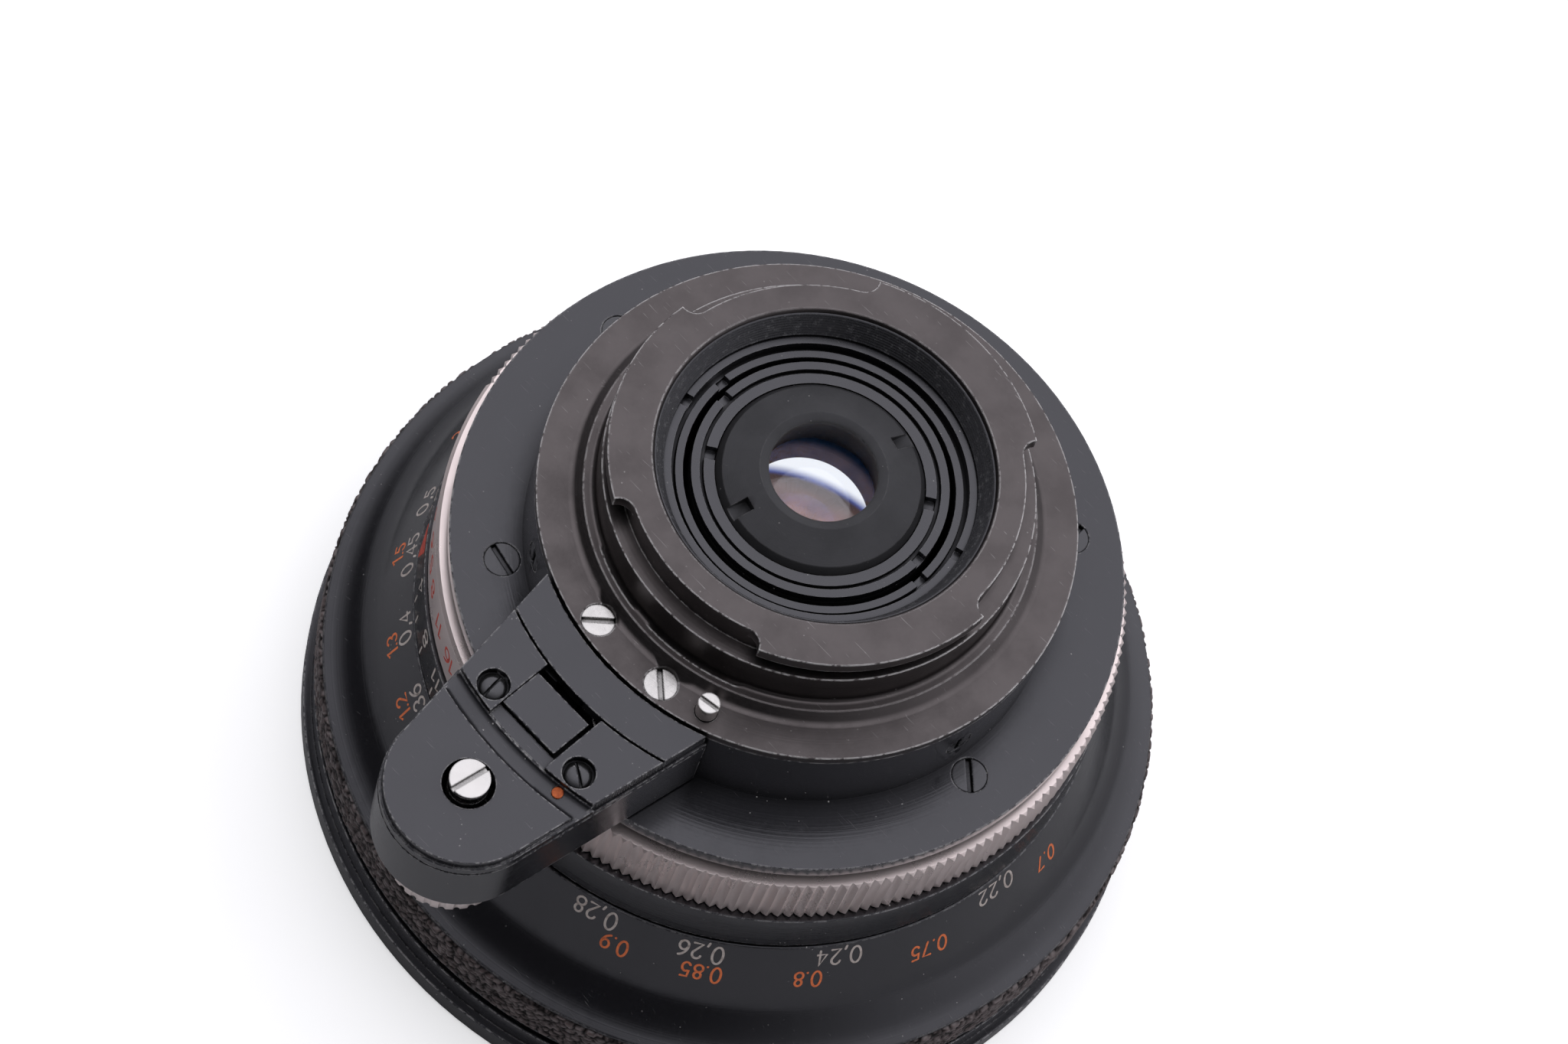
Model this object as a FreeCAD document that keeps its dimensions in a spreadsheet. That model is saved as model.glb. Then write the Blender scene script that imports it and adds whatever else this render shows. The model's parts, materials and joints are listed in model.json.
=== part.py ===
import FreeCAD, Part
import math
import os
import types

import Sketcher

# Wide-angle camera lens with a three-lug bayonet and an outside release arm.
# The optical axis is Z.  Z = 0 is the seat of the mount flange, +Z points to
# the camera, the lens faces -Z, and the release arm reaches out along +X.

doc = FreeCAD.newDocument("camera_lens")
sheet = doc.addObject("Spreadsheet::Sheet", "dims")


class Size:
    """A length: its number and the sheet formula that gives it."""

    def __init__(self, number, text):
        self.number = number
        self.text = text

    def joined(self, other, sign, number):
        return Size(number, "(%s %s %s)" % (self.text, sign, as_size(other).text))

    def __add__(self, other):
        return self.joined(other, "+", self.number + as_size(other).number)

    def __radd__(self, other):
        return as_size(other) + self

    def __sub__(self, other):
        return self.joined(other, "-", self.number - as_size(other).number)

    def __rsub__(self, other):
        return as_size(other) - self

    def __mul__(self, other):
        return self.joined(other, "*", self.number * as_size(other).number)

    def __truediv__(self, other):
        return self.joined(other, "/", self.number / as_size(other).number)

    def __neg__(self):
        return Size(-self.number, "(0 - %s)" % self.text)


def as_size(value):
    if isinstance(value, Size):
        return value
    return Size(float(value), "(%r)" % float(value))


def root(value):
    return Size(math.sqrt(value.number), "sqrt(%s)" % value.text)


# ---------------------------------------------------------------- dimensions
# millimetres and degrees; heights (names ending in _z) are measured from the seat

DIMENSIONS = dict(
    # running clearance between parts that move on each other
    play=0.05,
    # bayonet mount
    flange_radius=26.0, flange_thickness=1.0, fillet_radius=23.0, ledge_radius=21.7,
    foot_radius=21.1, foot_z=1.1, collar_radius=20.6, collar_foot_z=1.6, collar_z=5.59,
    groove_radius=18.9, lug_radius=20.48, lug_low_z=7.25, lug_z=8.65, throat_radius=16.1,
    throat_edge=0.25, sleeve_radius=15.0, sleeve_top_z=5.9, notch_angle=56.5,
    notch_corner=1.5, notch_inset=4.22,
    lug_count=3.0, notch_turn=-1.0,
    mount_screw_x=23.7, mount_screw_y=4.2, mount_screw_head=1.6, mount_screw_shank=0.9,
    mount_screw_low_z=-4.5, screw_head_depth=0.85, screw_sink=0.05,
    screw_slot_width=0.5, screw_slot_depth=0.45,
    lock_pin_radius=1.05, lock_pin_circle=24.1, lock_pin_angle=21.6, lock_pin_z=2.0,
    lock_pin_low_z=-3.0, lock_pin_slot=0.35, lock_pin_slot_angle=100.2,
    # hub, cover and fixed barrel
    hub_inner=23.0, hub_low_z=-9.85, hub_screw_radius=1.4, hub_screw_z=-5.2,
    cover_radius=33.05, cover_inner=18.0, cover_low_z=-11.35, cover_screw_circle=28.1,
    cover_screw_head=1.75, cover_screw_shank=1.0, cover_screw_low_z=-12.3,
    barrel_flange_radius=32.0, barrel_flange_inner=20.0, barrel_flange_low_z=-12.35,
    barrel_inner=27.5, barrel_outer=30.0, barrel_low_z=-36.6,
    # aperture ring
    aperture_top_z=-12.5, aperture_low_z=-19.9, aperture_radius=34.07, tooth_depth=0.55,
    teeth_per_turn=195.0, plain_start=-72.0, plain_sweep=60.0, knurl_edge=0.35,
    preset_inner=21.0, preset_top_z=-15.4, preset_low_z=-17.0, coupling_radius=0.9,
    coupling_z=-16.2, coupling_angle=100.0, coupling_inner=24.0, coupling_outer=32.5,
    coupling_slot_margin=2.7, preset_turn=32.5, ball_radius=1.0, ball_z=-18.0,
    ball_angle=-140.0, click_step=6.5, click_depth=0.3, click_count=6.0,
    # depth of field ring
    scale_top_z=-20.1, scale_radius=34.4, scale_low_radius=34.8, scale_low_z=-25.4,
    # focus ring
    focus_top_z=-25.9, focus_top_radius=34.9, flare_start_radius=37.6, flare_start_z=-32.2,
    flare_curve=9.0, flare_end_radius=42.9, flare_end_z=-37.0, grip_seat=42.3,
    grip_radius=43.3, grip_top_z=-37.5, grip_low_z=-43.5, focus_low_z=-43.9,
    helicoid_radius=38.0, helicoid_top_z=-37.6, keeper_room=33.0, keeper_room_top_z=-35.5,
    keeper_radius=32.5, keeper_top_z=-35.7, stop_pin_radius=0.5, stop_pin_z=-36.15,
    stop_groove_radius=33.8, stop_angle=180.0, stop_margin=1.2,
    focus_turn_far=91.9, focus_turn_near=183.7,
    # moving head
    head_top_z=-38.8, head_inner=35.9, web_top_z=-45.6, web_low_z=-47.2, web_radius=38.8,
    band_radius=43.1, band_top_z=-45.4, rim_top_z=-48.3, rim_radius=44.0, rim_edge=0.4,
    front_z=-51.6, filter_radius=41.0, filter_low_z=-48.4, name_inner=31.6,
    name_lip_z=-43.9, name_corner=35.2, name_corner_z=-47.55, name_seat_z=-42.1,
    element_gap=0.08,
    optics_guide=27.0, optics_guide_top_z=-26.0, optics_neck=20.0, iris_low_z=-19.0,
    optics_bore=10.5, key_width=4.0, key_inner=24.6, key_top_z=-26.5, key_low_z=-35.5,
    # iris
    iris_floor_z=-18.0, iris_wall_top_z=-15.4, iris_wall_inner=17.5, iris_outer=19.0,
    iris_throat=7.6, blade_inner=7.2, blade_outer=11.2, blade_pivot=12.3, blade_sweep=125.0,
    blade_tab=1.6, blade_drive_angle=23.0, blade_first_z=-17.9, blade_pitch=0.12,
    blade_thickness=0.08, blade_pin=0.45, blade_pin_low_z=-18.9, blade_pin_top_z=-15.9,
    drive_inner=9.0, drive_low_z=-17.1, drive_top_z=-15.6, drive_pin_radius=0.6,
    drive_pin_circle=16.2, drive_pin_top_z=-4.0, drive_pin_angle=-0.3,
    drive_turn=12.7, blade_turn=26.8, drive_slot_margin=6.0,
    # rear tube and rear cell
    guide_inner=12.95, guide_low_z=-6.0, guide_step_z=4.0, guide_top_z=4.6,
    outer_ring_inner=14.12, outer_ring_z=5.8, inner_ring_inner=12.88,
    inner_ring_radius=13.7, inner_ring_z=5.2,
    tube_radius=12.25, tube_flange_z=-14.2, tube_lip=11.44, tube_lip_z=5.0, tube_top_z=4.6,
    tube_ring_z=5.6, cell_ring_radius=11.06, cell_ring_inner=10.02, cell_ring_z=5.5,
    cell_radius=10.0, cell_low_z=-1.0, cell_seat_z=3.0, cell_flange_z=4.4,
    cell_shoulder=9.95, cell_shoulder_z=5.4, cell_edge=9.42, cell_edge_z=6.1,
    cell_crown=6.07, cell_crown_z=7.25, cell_opening=5.15, cell_opening_z=6.96,
    cell_throat=5.7, ring_slot_width=1.3, ring_slot_depth=0.8, outer_ring_slot=107.0,
    inner_ring_slot=90.0, tube_ring_slot=96.0, cell_ring_slot=126.0, cell_slot=-16.0,
    # lens elements: rim, vertex heights, surface radii (positive bulges outward)
    front_rim_r=33.0, front_v=-48.3, front_curve=90.0, front_back_v=-45.5,
    front_back_curve=-27.0, front_clear=16.5,
    second_rim_r=18.0, second_v=-39.4, second_curve=45.0, second_back_v=-37.4,
    second_back_curve=-18.0, second_clear=13.0,
    third_rim_r=12.5, third_v=-33.0, third_curve=30.0, third_back_v=-22.5,
    rear_bore=8.6, fourth_v=-12.6, fourth_curve=25.0, cement_v=-8.3, cement_curve=20.0,
    fifth_back_v=-6.6, fifth_back_curve=-30.0,
    sixth_v=-3.6, sixth_curve=-40.0, sixth_back_v=-1.2, sixth_back_curve=18.0,
    rear_rim_r=6.4, rear_v=-0.2, rear_curve=-60.0, rear_back_v=3.4, rear_back_curve=22.0,
    lens_ring_width=1.5, lens_ring_height=1.0, spacer_width=0.6,
    # release arm
    arm_low_z=-9.5, arm_deck_z=-1.5, arm_half_width=11.0, arm_root_x=24.0,
    arm_tip_radius=8.0, plunger_x=43.85, band_inner=26.35, band_outer=30.4,
    block_inner=30.6, block_outer=37.7, relief_outer=40.0, relief_edge_z=-0.6,
    relief_curve=1.6,
    seam_z=-2.1, seam_width=0.12, seam_depth=0.18, ledge_z=-1.0, ledge_inset=0.05,
    plate_inset=0.3, tongue_well_z=-3.0,
    tongue_left=-3.9, tongue_right=2.85, tongue_inner=31.55, tongue_outer=36.0,
    tongue_gap=0.08, tongue_gap_right=0.45, bar_left=-2.2, bar_right=0.2, bar_low_z=-4.6, bar_top_z=-3.2,
    arm_screw_x=35.5, arm_screw_y=5.7, arm_screw_head=1.55, arm_screw_shank=0.8,
    arm_screw_low_z=-5.5, dot_x=37.95, dot_y=5.65, dot_radius=0.55, dot_z=-0.95,
    dot_depth=0.6,
    plunger_hole=2.45, sleeve_hole=4.45, sleeve_hole_z=-5.0,
    # plunger, button and spring
    button_radius=6.05, button_top_z=-14.0, button_low_z=-16.0, button_teeth=27.0,
    button_tooth_depth=0.4, button_sleeve=4.4, button_sleeve_inner=3.5,
    button_sleeve_z=-9.45, rod_radius=2.2, rod_neck=1.0, rod_cone_low_z=-8.81,
    rod_neck_z=-3.9, rod_head_z=-1.9, rod_head_radius=1.9, rod_top_z=-0.3,
    rod_low_z=-15.5, plunger_head_z=1.2, plunger_shank=0.8, plunger_shank_z=-1.8,
    plunger_slot_angle=171.2,
    spring_radius=2.95, spring_wire=0.4, spring_turns=5.0, slide_reach=1.24,
    # crank between the slide and the iris
    crank_x=28.2, crank_y=3.0, crank_hub=1.8, crank_pin_radius=0.95, crank_short=3.7,
    crank_turn=16.7, crank_nose=0.6, crank_long=12.39, crank_fork=1.4, crank_head=1.9,
    crank_arm_width=1.6, crank_fork_depth=1.0,
    crank_top_z=-3.4, crank_upper_z=-4.6, crank_lower_z=-6.3, crank_low_z=-7.5,
    window_gap=0.3,
)

for row, (name, number) in enumerate(DIMENSIONS.items(), start=1):
    sheet.set("A%d" % row, name)
    sheet.set("B%d" % row, repr(number))
    sheet.setAlias("B%d" % row, name)
d = types.SimpleNamespace(
    **{name: Size(number, "dims." + name) for name, number in DIMENSIONS.items()})
doc.recompute()

ZERO = as_size(0.0)
PARTS = []


# ------------------------------------------------------------------- helpers

def bind(feature, place, value):
    feature.setExpression(place, as_size(value).text)


def keep(feature, label):
    """Marks a finished sub-part; its label is its file name."""
    feature.Label = label
    PARTS.append(feature)
    return feature


def new(kind, name):
    return doc.addObject(kind, name)


def arc_edge(start, end, radius, hollow):
    """Arc between two profile corners, as a circle arc and its two end numbers."""
    middle = (start + end) * 0.5
    along = end - start
    half = along.Length / 2
    side = FreeCAD.Vector(-along.y, along.x, 0).normalize()
    centre = middle + side * math.sqrt(radius ** 2 - half ** 2) * (-1 if hollow else 1)
    first, last = (end, start) if hollow else (start, end)
    angles = [math.atan2(p.y - centre.y, p.x - centre.x) for p in (first, last)]
    circle = Part.Circle(centre, FreeCAD.Vector(0, 0, 1), radius)
    ends = (2, 1) if hollow else (1, 2)
    return Part.ArcOfCircle(circle, *angles), ends


def turned(label, corners):
    """Body of revolution about Z.  Corners (radius, height) run anticlockwise;
    a third value is the radius of an arc to the next corner, negative if hollow."""
    body = new("PartDesign::Body", label + "_body")
    sketch = body.newObject("Sketcher::SketchObject", label + "_profile")
    plane = [o for o in body.Origin.OriginFeatures if o.Role == "XZ_Plane"][0]
    sketch.AttachmentSupport = [(plane, "")]
    sketch.MapMode = "FlatFace"
    corners = [tuple(as_size(value) for value in corner) for corner in corners]
    points = [FreeCAD.Vector(c[0].number, c[1].number, 0) for c in corners]
    ends = []
    for index, corner in enumerate(corners):
        start, end = points[index], points[(index + 1) % len(points)]
        if len(corner) == 3:
            arc, arc_ends = arc_edge(start, end, abs(corner[2].number), corner[2].number < 0)
            sketch.addGeometry(arc)
            ends.append(arc_ends)
        else:
            sketch.addGeometry(Part.LineSegment(start, end))
            ends.append((1, 2))
    for index in range(len(corners)):
        after = (index + 1) % len(corners)
        sketch.addConstraint(Sketcher.Constraint(
            "Coincident", index, ends[index][1], after, ends[after][0]))
    for index, corner in enumerate(corners):
        for kind, value in zip(("DistanceX", "DistanceY"), corner):
            place = sketch.addConstraint(Sketcher.Constraint(
                kind, -1, 1, index, ends[index][0], value.number))
            bind(sketch, "Constraints[%d]" % place, value)
        if len(corner) == 3:
            size = -corner[2] if corner[2].number < 0 else corner[2]
            place = sketch.addConstraint(Sketcher.Constraint("Radius", index, size.number))
            bind(sketch, "Constraints[%d]" % place, size)
    turn = body.newObject("PartDesign::Revolution", label + "_turn")
    turn.Profile = sketch
    turn.ReferenceAxis = (sketch, ["V_Axis"])
    turn.Angle = 360
    body.Tip = turn
    return body


def tube(label, inner, outer, low, high):
    return turned(label, [(inner, low), (outer, low), (outer, high), (inner, high)])


def cylinder(name, radius, low, high, x=ZERO, y=ZERO):
    shape = new("Part::Cylinder", name)
    bind(shape, "Radius", radius)
    bind(shape, "Height", as_size(high) - low)
    bind(shape, "Placement.Base.x", x)
    bind(shape, "Placement.Base.y", y)
    bind(shape, "Placement.Base.z", low)
    return shape


def sector(name, inner, outer, low, high, start, sweep):
    """Slice of a tube from angle start, turning anticlockwise by sweep."""
    wedge = new("Part::Cylinder", name + "_wedge")
    bind(wedge, "Radius", outer)
    bind(wedge, "Height", as_size(high) - low)
    bind(wedge, "Angle", sweep)
    wedge.Placement = FreeCAD.Placement(
        FreeCAD.Vector(0, 0, as_size(low).number),
        FreeCAD.Rotation(FreeCAD.Vector(0, 0, 1), as_size(start).number))
    core = cylinder(name + "_core", inner, as_size(low) - 1, as_size(high) + 1)
    return cut(name, wedge, core)


def radial(name, radius, inner, outer, height, angle):
    """Cylinder lying along a radius of the lens."""
    shape = new("Part::Cylinder", name)
    bind(shape, "Radius", radius)
    bind(shape, "Height", as_size(outer) - inner)
    spin = FreeCAD.Rotation(FreeCAD.Vector(0, 0, 1), as_size(angle).number)
    tip = FreeCAD.Rotation(FreeCAD.Vector(0, 1, 0), 90)
    start = spin.multVec(FreeCAD.Vector(as_size(inner).number, 0, 0))
    start.z = as_size(height).number
    shape.Placement = FreeCAD.Placement(start, spin.multiply(tip))
    return shape


def block(name, x_low, x_high, y_low, y_high, low, high):
    shape = new("Part::Box", name)
    for side, lower, upper in (("Length", x_low, x_high), ("Width", y_low, y_high),
                               ("Height", low, high)):
        bind(shape, side, as_size(upper) - lower)
    corner = [as_size(lower) for lower in (x_low, y_low, low)]
    shape.Placement.Base = FreeCAD.Vector(*[lower.number for lower in corner])
    for axis, lower in zip("xyz", corner):
        bind(shape, "Placement.Base." + axis, lower)
    return shape


def spun(shape, angle, x=0.0, y=0.0):
    """Turns a block about a vertical line through x, y."""
    for axis in "xyz":
        shape.setExpression("Placement.Base." + axis, None)
    turn = FreeCAD.Placement(FreeCAD.Vector(0, 0, 0),
                             FreeCAD.Rotation(FreeCAD.Vector(0, 0, 1), angle),
                             FreeCAD.Vector(x, y, 0))
    shape.Placement = turn.multiply(shape.Placement)
    return shape


def fuse(name, *shapes):
    whole = new("Part::MultiFuse", name)
    whole.Shapes = list(shapes)
    return whole


def common(name, first, second):
    shared = new("Part::Common", name)
    shared.Base = first
    shared.Tool = second
    return shared


def cut(name, base, *tools):
    rest = new("Part::Cut", name)
    rest.Base = base
    rest.Tool = tools[0] if len(tools) == 1 else fuse(name + "_tools", *tools)
    return rest


def group(name, shapes):
    together = new("Part::Compound", name)
    together.Links = list(shapes)
    return together


def screw(name, head, shank, top, low, slot_angle, x=ZERO, y=ZERO):
    """Slotted flat-head screw with its head sunk just below the surface."""
    head_top = as_size(top) - d.screw_sink
    head_low = as_size(top) - d.screw_head_depth
    body = fuse(name + "_blank", cylinder(name + "_head", head, head_low, head_top, x, y),
                cylinder(name + "_shank", shank, low, head_low, x, y))
    slot = block(name + "_slot", x - head * 1.2, x + head * 1.2,
                 y - d.screw_slot_width / 2, y + d.screw_slot_width / 2,
                 head_top - d.screw_slot_depth, head_top + 1)
    return cut(name, body, spun(slot, slot_angle, x.number, y.number))


def screw_hole(name, head, shank, top, low, x, y):
    return fuse(name, cylinder(name + "_sink", head, as_size(top) - d.screw_head_depth,
                               as_size(top) + 1, x, y),
                cylinder(name + "_bore", shank, low, as_size(top) + 1, x, y))


def around(radius, degrees):
    """X and Y of a point on a circle about the axis."""
    turn = math.radians(as_size(degrees).number)
    return radius * math.cos(turn), radius * math.sin(turn)


def slotted_ring(label, inner, outer, low, high, slot_angle):
    """Threaded lock ring with two spanner slots across its rear face."""
    ring = tube(label + "_ring", inner, outer, low, high)
    slot = block(label + "_slot", as_size(0) - outer - 1, as_size(outer) + 1,
                 -d.ring_slot_width / 2, d.ring_slot_width / 2,
                 as_size(high) - d.ring_slot_depth, as_size(high) + 1)
    return keep(cut(label + "_cut", ring, spun(slot, slot_angle.number)), label)


def sag(curve, reach):
    """Depth of a spherical surface at a given distance from the axis."""
    size = -curve if curve.number < 0 else curve
    depth = size - root(size * size - reach * reach)
    return -depth if curve.number < 0 else depth


def lens(label, rim, front, front_curve, back, back_curve, back_clear=None):
    """Spherical element; a hollow rear face may stop short of the rim."""
    clear = rim if back_clear is None else back_clear
    front_edge = front + sag(front_curve, rim)
    back_edge = back - sag(back_curve, clear)
    corners = [(ZERO, front, front_curve), (rim, front_edge), (rim, back_edge)]
    if back_clear is None:
        corners[-1] = corners[-1] + (back_curve,)
    else:
        corners.append((clear, back_edge, back_curve))
    corners.append((ZERO, back))
    keep(turned(label, corners), label)
    return front_edge, back_edge


# ------------------------------------------------------------- bayonet mount

# side of the arm's centre line, and which way the screw slot was left
MOUNT_SCREWS = ((-1, 136.7), (1, 49.7))


def claw_notch(name, start):
    """Gap between two claws, its inner corners rounded by the milling cutter."""
    centre = d.groove_radius + d.notch_corner
    outer, low, high = d.collar_radius + 1, d.collar_z + d.play, d.lug_z + 1
    first, last = start + d.notch_inset, start + d.notch_angle - d.notch_inset
    pieces = [sector(name + "_mouth", centre, outer, low, high, start, d.notch_angle),
              sector(name + "_floor", d.groove_radius, outer, low, high, first, last - first)]
    for side, angle in enumerate((first, last)):
        x, y = around(centre, angle)
        pieces.append(cylinder(name + "_corner_%d" % side, d.notch_corner, low, high, x, y))
    return fuse(name, *pieces)


def make_mount():
    profile = turned("mount_blank", [
        (d.sleeve_radius, -d.flange_thickness), (d.flange_radius, -d.flange_thickness),
        (d.flange_radius, ZERO), (d.fillet_radius, ZERO), (d.ledge_radius, d.foot_z),
        (d.foot_radius, d.foot_z), (d.collar_radius, d.collar_foot_z),
        (d.collar_radius, d.collar_z), (d.groove_radius, d.collar_z),
        (d.groove_radius, d.lug_low_z), (d.lug_radius, d.lug_low_z),
        (d.lug_radius, d.lug_z), (d.throat_radius + d.throat_edge, d.lug_z),
        (d.throat_radius, d.lug_z - d.throat_edge), (d.sleeve_radius, d.sleeve_top_z)])
    notches = []
    for index in range(int(d.lug_count.number)):
        start = d.notch_turn - d.notch_angle / 2 + as_size(360) / d.lug_count * index
        notches.append(claw_notch("notch_%d" % index, start))
    pin_x, pin_y = around(d.lock_pin_circle, d.lock_pin_angle)
    holes = [cylinder("mount_pin_hole", d.lock_pin_radius, -d.flange_thickness - 1, as_size(1),
                      pin_x, pin_y)]
    for side, _ in MOUNT_SCREWS:
        holes.append(screw_hole("mount_hole_%d" % (side + 1), d.mount_screw_head,
                                d.mount_screw_shank, ZERO, d.mount_screw_low_z,
                                d.mount_screw_x, d.mount_screw_y * side))
    keep(cut("mount", profile, *notches, *holes), "bayonet_mount")


def make_mount_screws():
    screws = []
    for side, slot_angle in MOUNT_SCREWS:
        screws.append(screw("mount_screw_%d" % (side + 1), d.mount_screw_head,
                            d.mount_screw_shank, ZERO, d.mount_screw_low_z, slot_angle,
                            d.mount_screw_x, d.mount_screw_y * side))
    keep(group("mount_screw_pair", screws), "mount_screws")


def make_lock_pin():
    x, y = around(d.lock_pin_circle, d.lock_pin_angle)
    pin = cylinder("lock_pin_blank", d.lock_pin_radius, d.lock_pin_low_z, d.lock_pin_z, x, y)
    slot = block("lock_pin_slot", x - d.lock_pin_radius * 2, x + d.lock_pin_radius * 2,
                 y - d.lock_pin_slot / 2, y + d.lock_pin_slot / 2,
                 d.lock_pin_z - d.lock_pin_slot, d.lock_pin_z + 1)
    keep(cut("lock_pin_cut", pin, spun(slot, d.lock_pin_slot_angle.number, x.number,
                                        y.number)), "lock_pin")


# ------------------------------------------------------ hub, cover, barrel

HUB_SCREW_ANGLES = (-33.0, 81.0, 197.0)
# place round the cover, and which way the screw slot was left
COVER_SCREWS = ((-97.0, 20.0), (-37.5, 78.3), (83.0, 48.6), (143.0, 5.0), (203.0, 62.0))


def make_hub():
    blank = tube("hub_blank", d.hub_inner, d.flange_radius, d.hub_low_z, -d.flange_thickness)
    pin_x, pin_y = around(d.lock_pin_circle, d.lock_pin_angle)
    holes = [cylinder("hub_pin_hole", d.lock_pin_radius, d.lock_pin_low_z, ZERO, pin_x, pin_y)]
    for side, _ in MOUNT_SCREWS:
        holes.append(cylinder("hub_hole_%d" % (side + 1), d.mount_screw_shank,
                              d.mount_screw_low_z, ZERO, d.mount_screw_x,
                              d.mount_screw_y * side))
    for index, angle in enumerate(HUB_SCREW_ANGLES):
        holes.append(radial("hub_thread_%d" % index, d.hub_screw_radius, d.hub_inner - 1,
                            d.flange_radius + 1, d.hub_screw_z, angle))
    holes.append(crank_window("hub_window"))
    keep(cut("hub", blank, *holes), "mount_hub")


def crank_window(name):
    """Room for the lower crank arm to pass the hub wall and swing."""
    return block(name, d.hub_inner - 2, d.crank_x, d.crank_y - d.crank_arm_width * 2,
                 d.crank_y + d.crank_arm_width * 1.5, d.crank_low_z - d.window_gap,
                 d.crank_lower_z + d.window_gap)


def make_hub_screws():
    screws = []
    for index, angle in enumerate(HUB_SCREW_ANGLES):
        body = radial("hub_screw_blank_%d" % index, d.hub_screw_radius, d.hub_inner,
                      d.flange_radius - d.screw_sink, d.hub_screw_z, angle)
        slot = block("hub_screw_slot_%d" % index, d.flange_radius - d.screw_slot_depth,
                     d.flange_radius + 1, -d.screw_slot_width / 2, d.screw_slot_width / 2,
                     d.hub_screw_z - d.hub_screw_radius, d.hub_screw_z + d.hub_screw_radius)
        screws.append(cut("hub_screw_%d" % index, body, spun(slot, angle)))
    keep(group("hub_screw_set", screws), "hub_screws")


def make_cover():
    blank = tube("cover_blank", d.cover_inner, d.cover_radius, d.cover_low_z, d.hub_low_z)
    holes = []
    for index, (angle, _) in enumerate(COVER_SCREWS):
        holes.append(screw_hole("cover_hole_%d" % index, d.cover_screw_head,
                                d.cover_screw_shank, d.hub_low_z, d.cover_screw_low_z,
                                *around(d.cover_screw_circle, angle)))
    keep(cut("cover", blank, *holes), "rear_cover")


def make_cover_screws():
    screws = []
    for index, (angle, slot_angle) in enumerate(COVER_SCREWS):
        screws.append(screw("cover_screw_%d" % index, d.cover_screw_head,
                            d.cover_screw_shank, d.hub_low_z, d.cover_screw_low_z,
                            slot_angle, *around(d.cover_screw_circle, angle)))
    keep(group("cover_screw_set", screws), "cover_screws")


def make_main_barrel():
    blank = turned("barrel_blank", [
        (d.barrel_inner, d.barrel_low_z), (d.barrel_outer, d.barrel_low_z),
        (d.barrel_outer, d.barrel_flange_low_z),
        (d.barrel_flange_radius, d.barrel_flange_low_z),
        (d.barrel_flange_radius, d.cover_low_z), (d.barrel_flange_inner, d.cover_low_z),
        (d.barrel_flange_inner, d.barrel_flange_low_z),
        (d.barrel_inner, d.barrel_flange_low_z)])
    slot = sector("coupling_slot", d.barrel_inner - 1, d.barrel_outer + 1,
                  d.coupling_z - d.coupling_radius - d.play,
                  d.coupling_z + d.coupling_radius + d.play,
                  d.coupling_angle - d.preset_turn - d.coupling_slot_margin,
                  d.preset_turn + d.coupling_slot_margin * 2)
    ball_hole = radial("ball_hole", d.ball_radius + d.play, d.barrel_inner - 1,
                       d.barrel_outer + 1, d.ball_z, d.ball_angle)
    holes = [slot, ball_hole]
    for index, (angle, _) in enumerate(COVER_SCREWS):
        x, y = around(d.cover_screw_circle, angle)
        holes.append(cylinder("barrel_thread_%d" % index, d.cover_screw_shank,
                              d.cover_screw_low_z, d.cover_low_z + 1, x, y))
    keep(cut("barrel", blank, *holes), "main_barrel")


def make_detent_ball():
    ball = new("Part::Sphere", "ball")
    bind(ball, "Radius", d.ball_radius)
    x, y = around(d.barrel_outer - d.ball_radius, d.ball_angle)
    bind(ball, "Placement.Base.x", x)
    bind(ball, "Placement.Base.y", y)
    bind(ball, "Placement.Base.z", d.ball_z)
    keep(ball, "detent_ball")


def make_scale_ring():
    keep(turned("scale_ring", [
        (d.barrel_outer, d.scale_low_z), (d.scale_low_radius, d.scale_low_z),
        (d.scale_radius, d.scale_top_z), (d.barrel_outer, d.scale_top_z)]),
        "depth_of_field_ring")


# --------------------------------------------------------------- aperture ring

def knurl_outline():
    """Closed outline of the aperture ring: V teeth all round except the plain part."""
    pitch = 360 / d.teeth_per_turn.number
    outer = d.aperture_radius.number
    inner = outer - d.tooth_depth.number
    start = d.plain_start.number + d.plain_sweep.number
    count = int((360 - d.plain_sweep.number) / pitch)
    corners = []
    for tooth in range(count):
        for turn, radius in ((0.0, inner), (0.5, outer)):
            angle = math.radians(start + (tooth + turn) * pitch)
            corners.append(FreeCAD.Vector(radius * math.cos(angle), radius * math.sin(angle), 0))
    ends = [math.radians(a) for a in (start + count * pitch, start + 360)]
    middle = math.radians(start + 360 - d.plain_sweep.number / 2)
    first, halfway, last = [FreeCAD.Vector(outer * math.cos(a), outer * math.sin(a), 0)
                            for a in (ends[0], middle, ends[1])]
    teeth = Part.makePolygon([last] + corners + [first])
    plain = Part.Arc(first, halfway, last).toShape()
    return Part.Wire(teeth.Edges + [plain])


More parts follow.
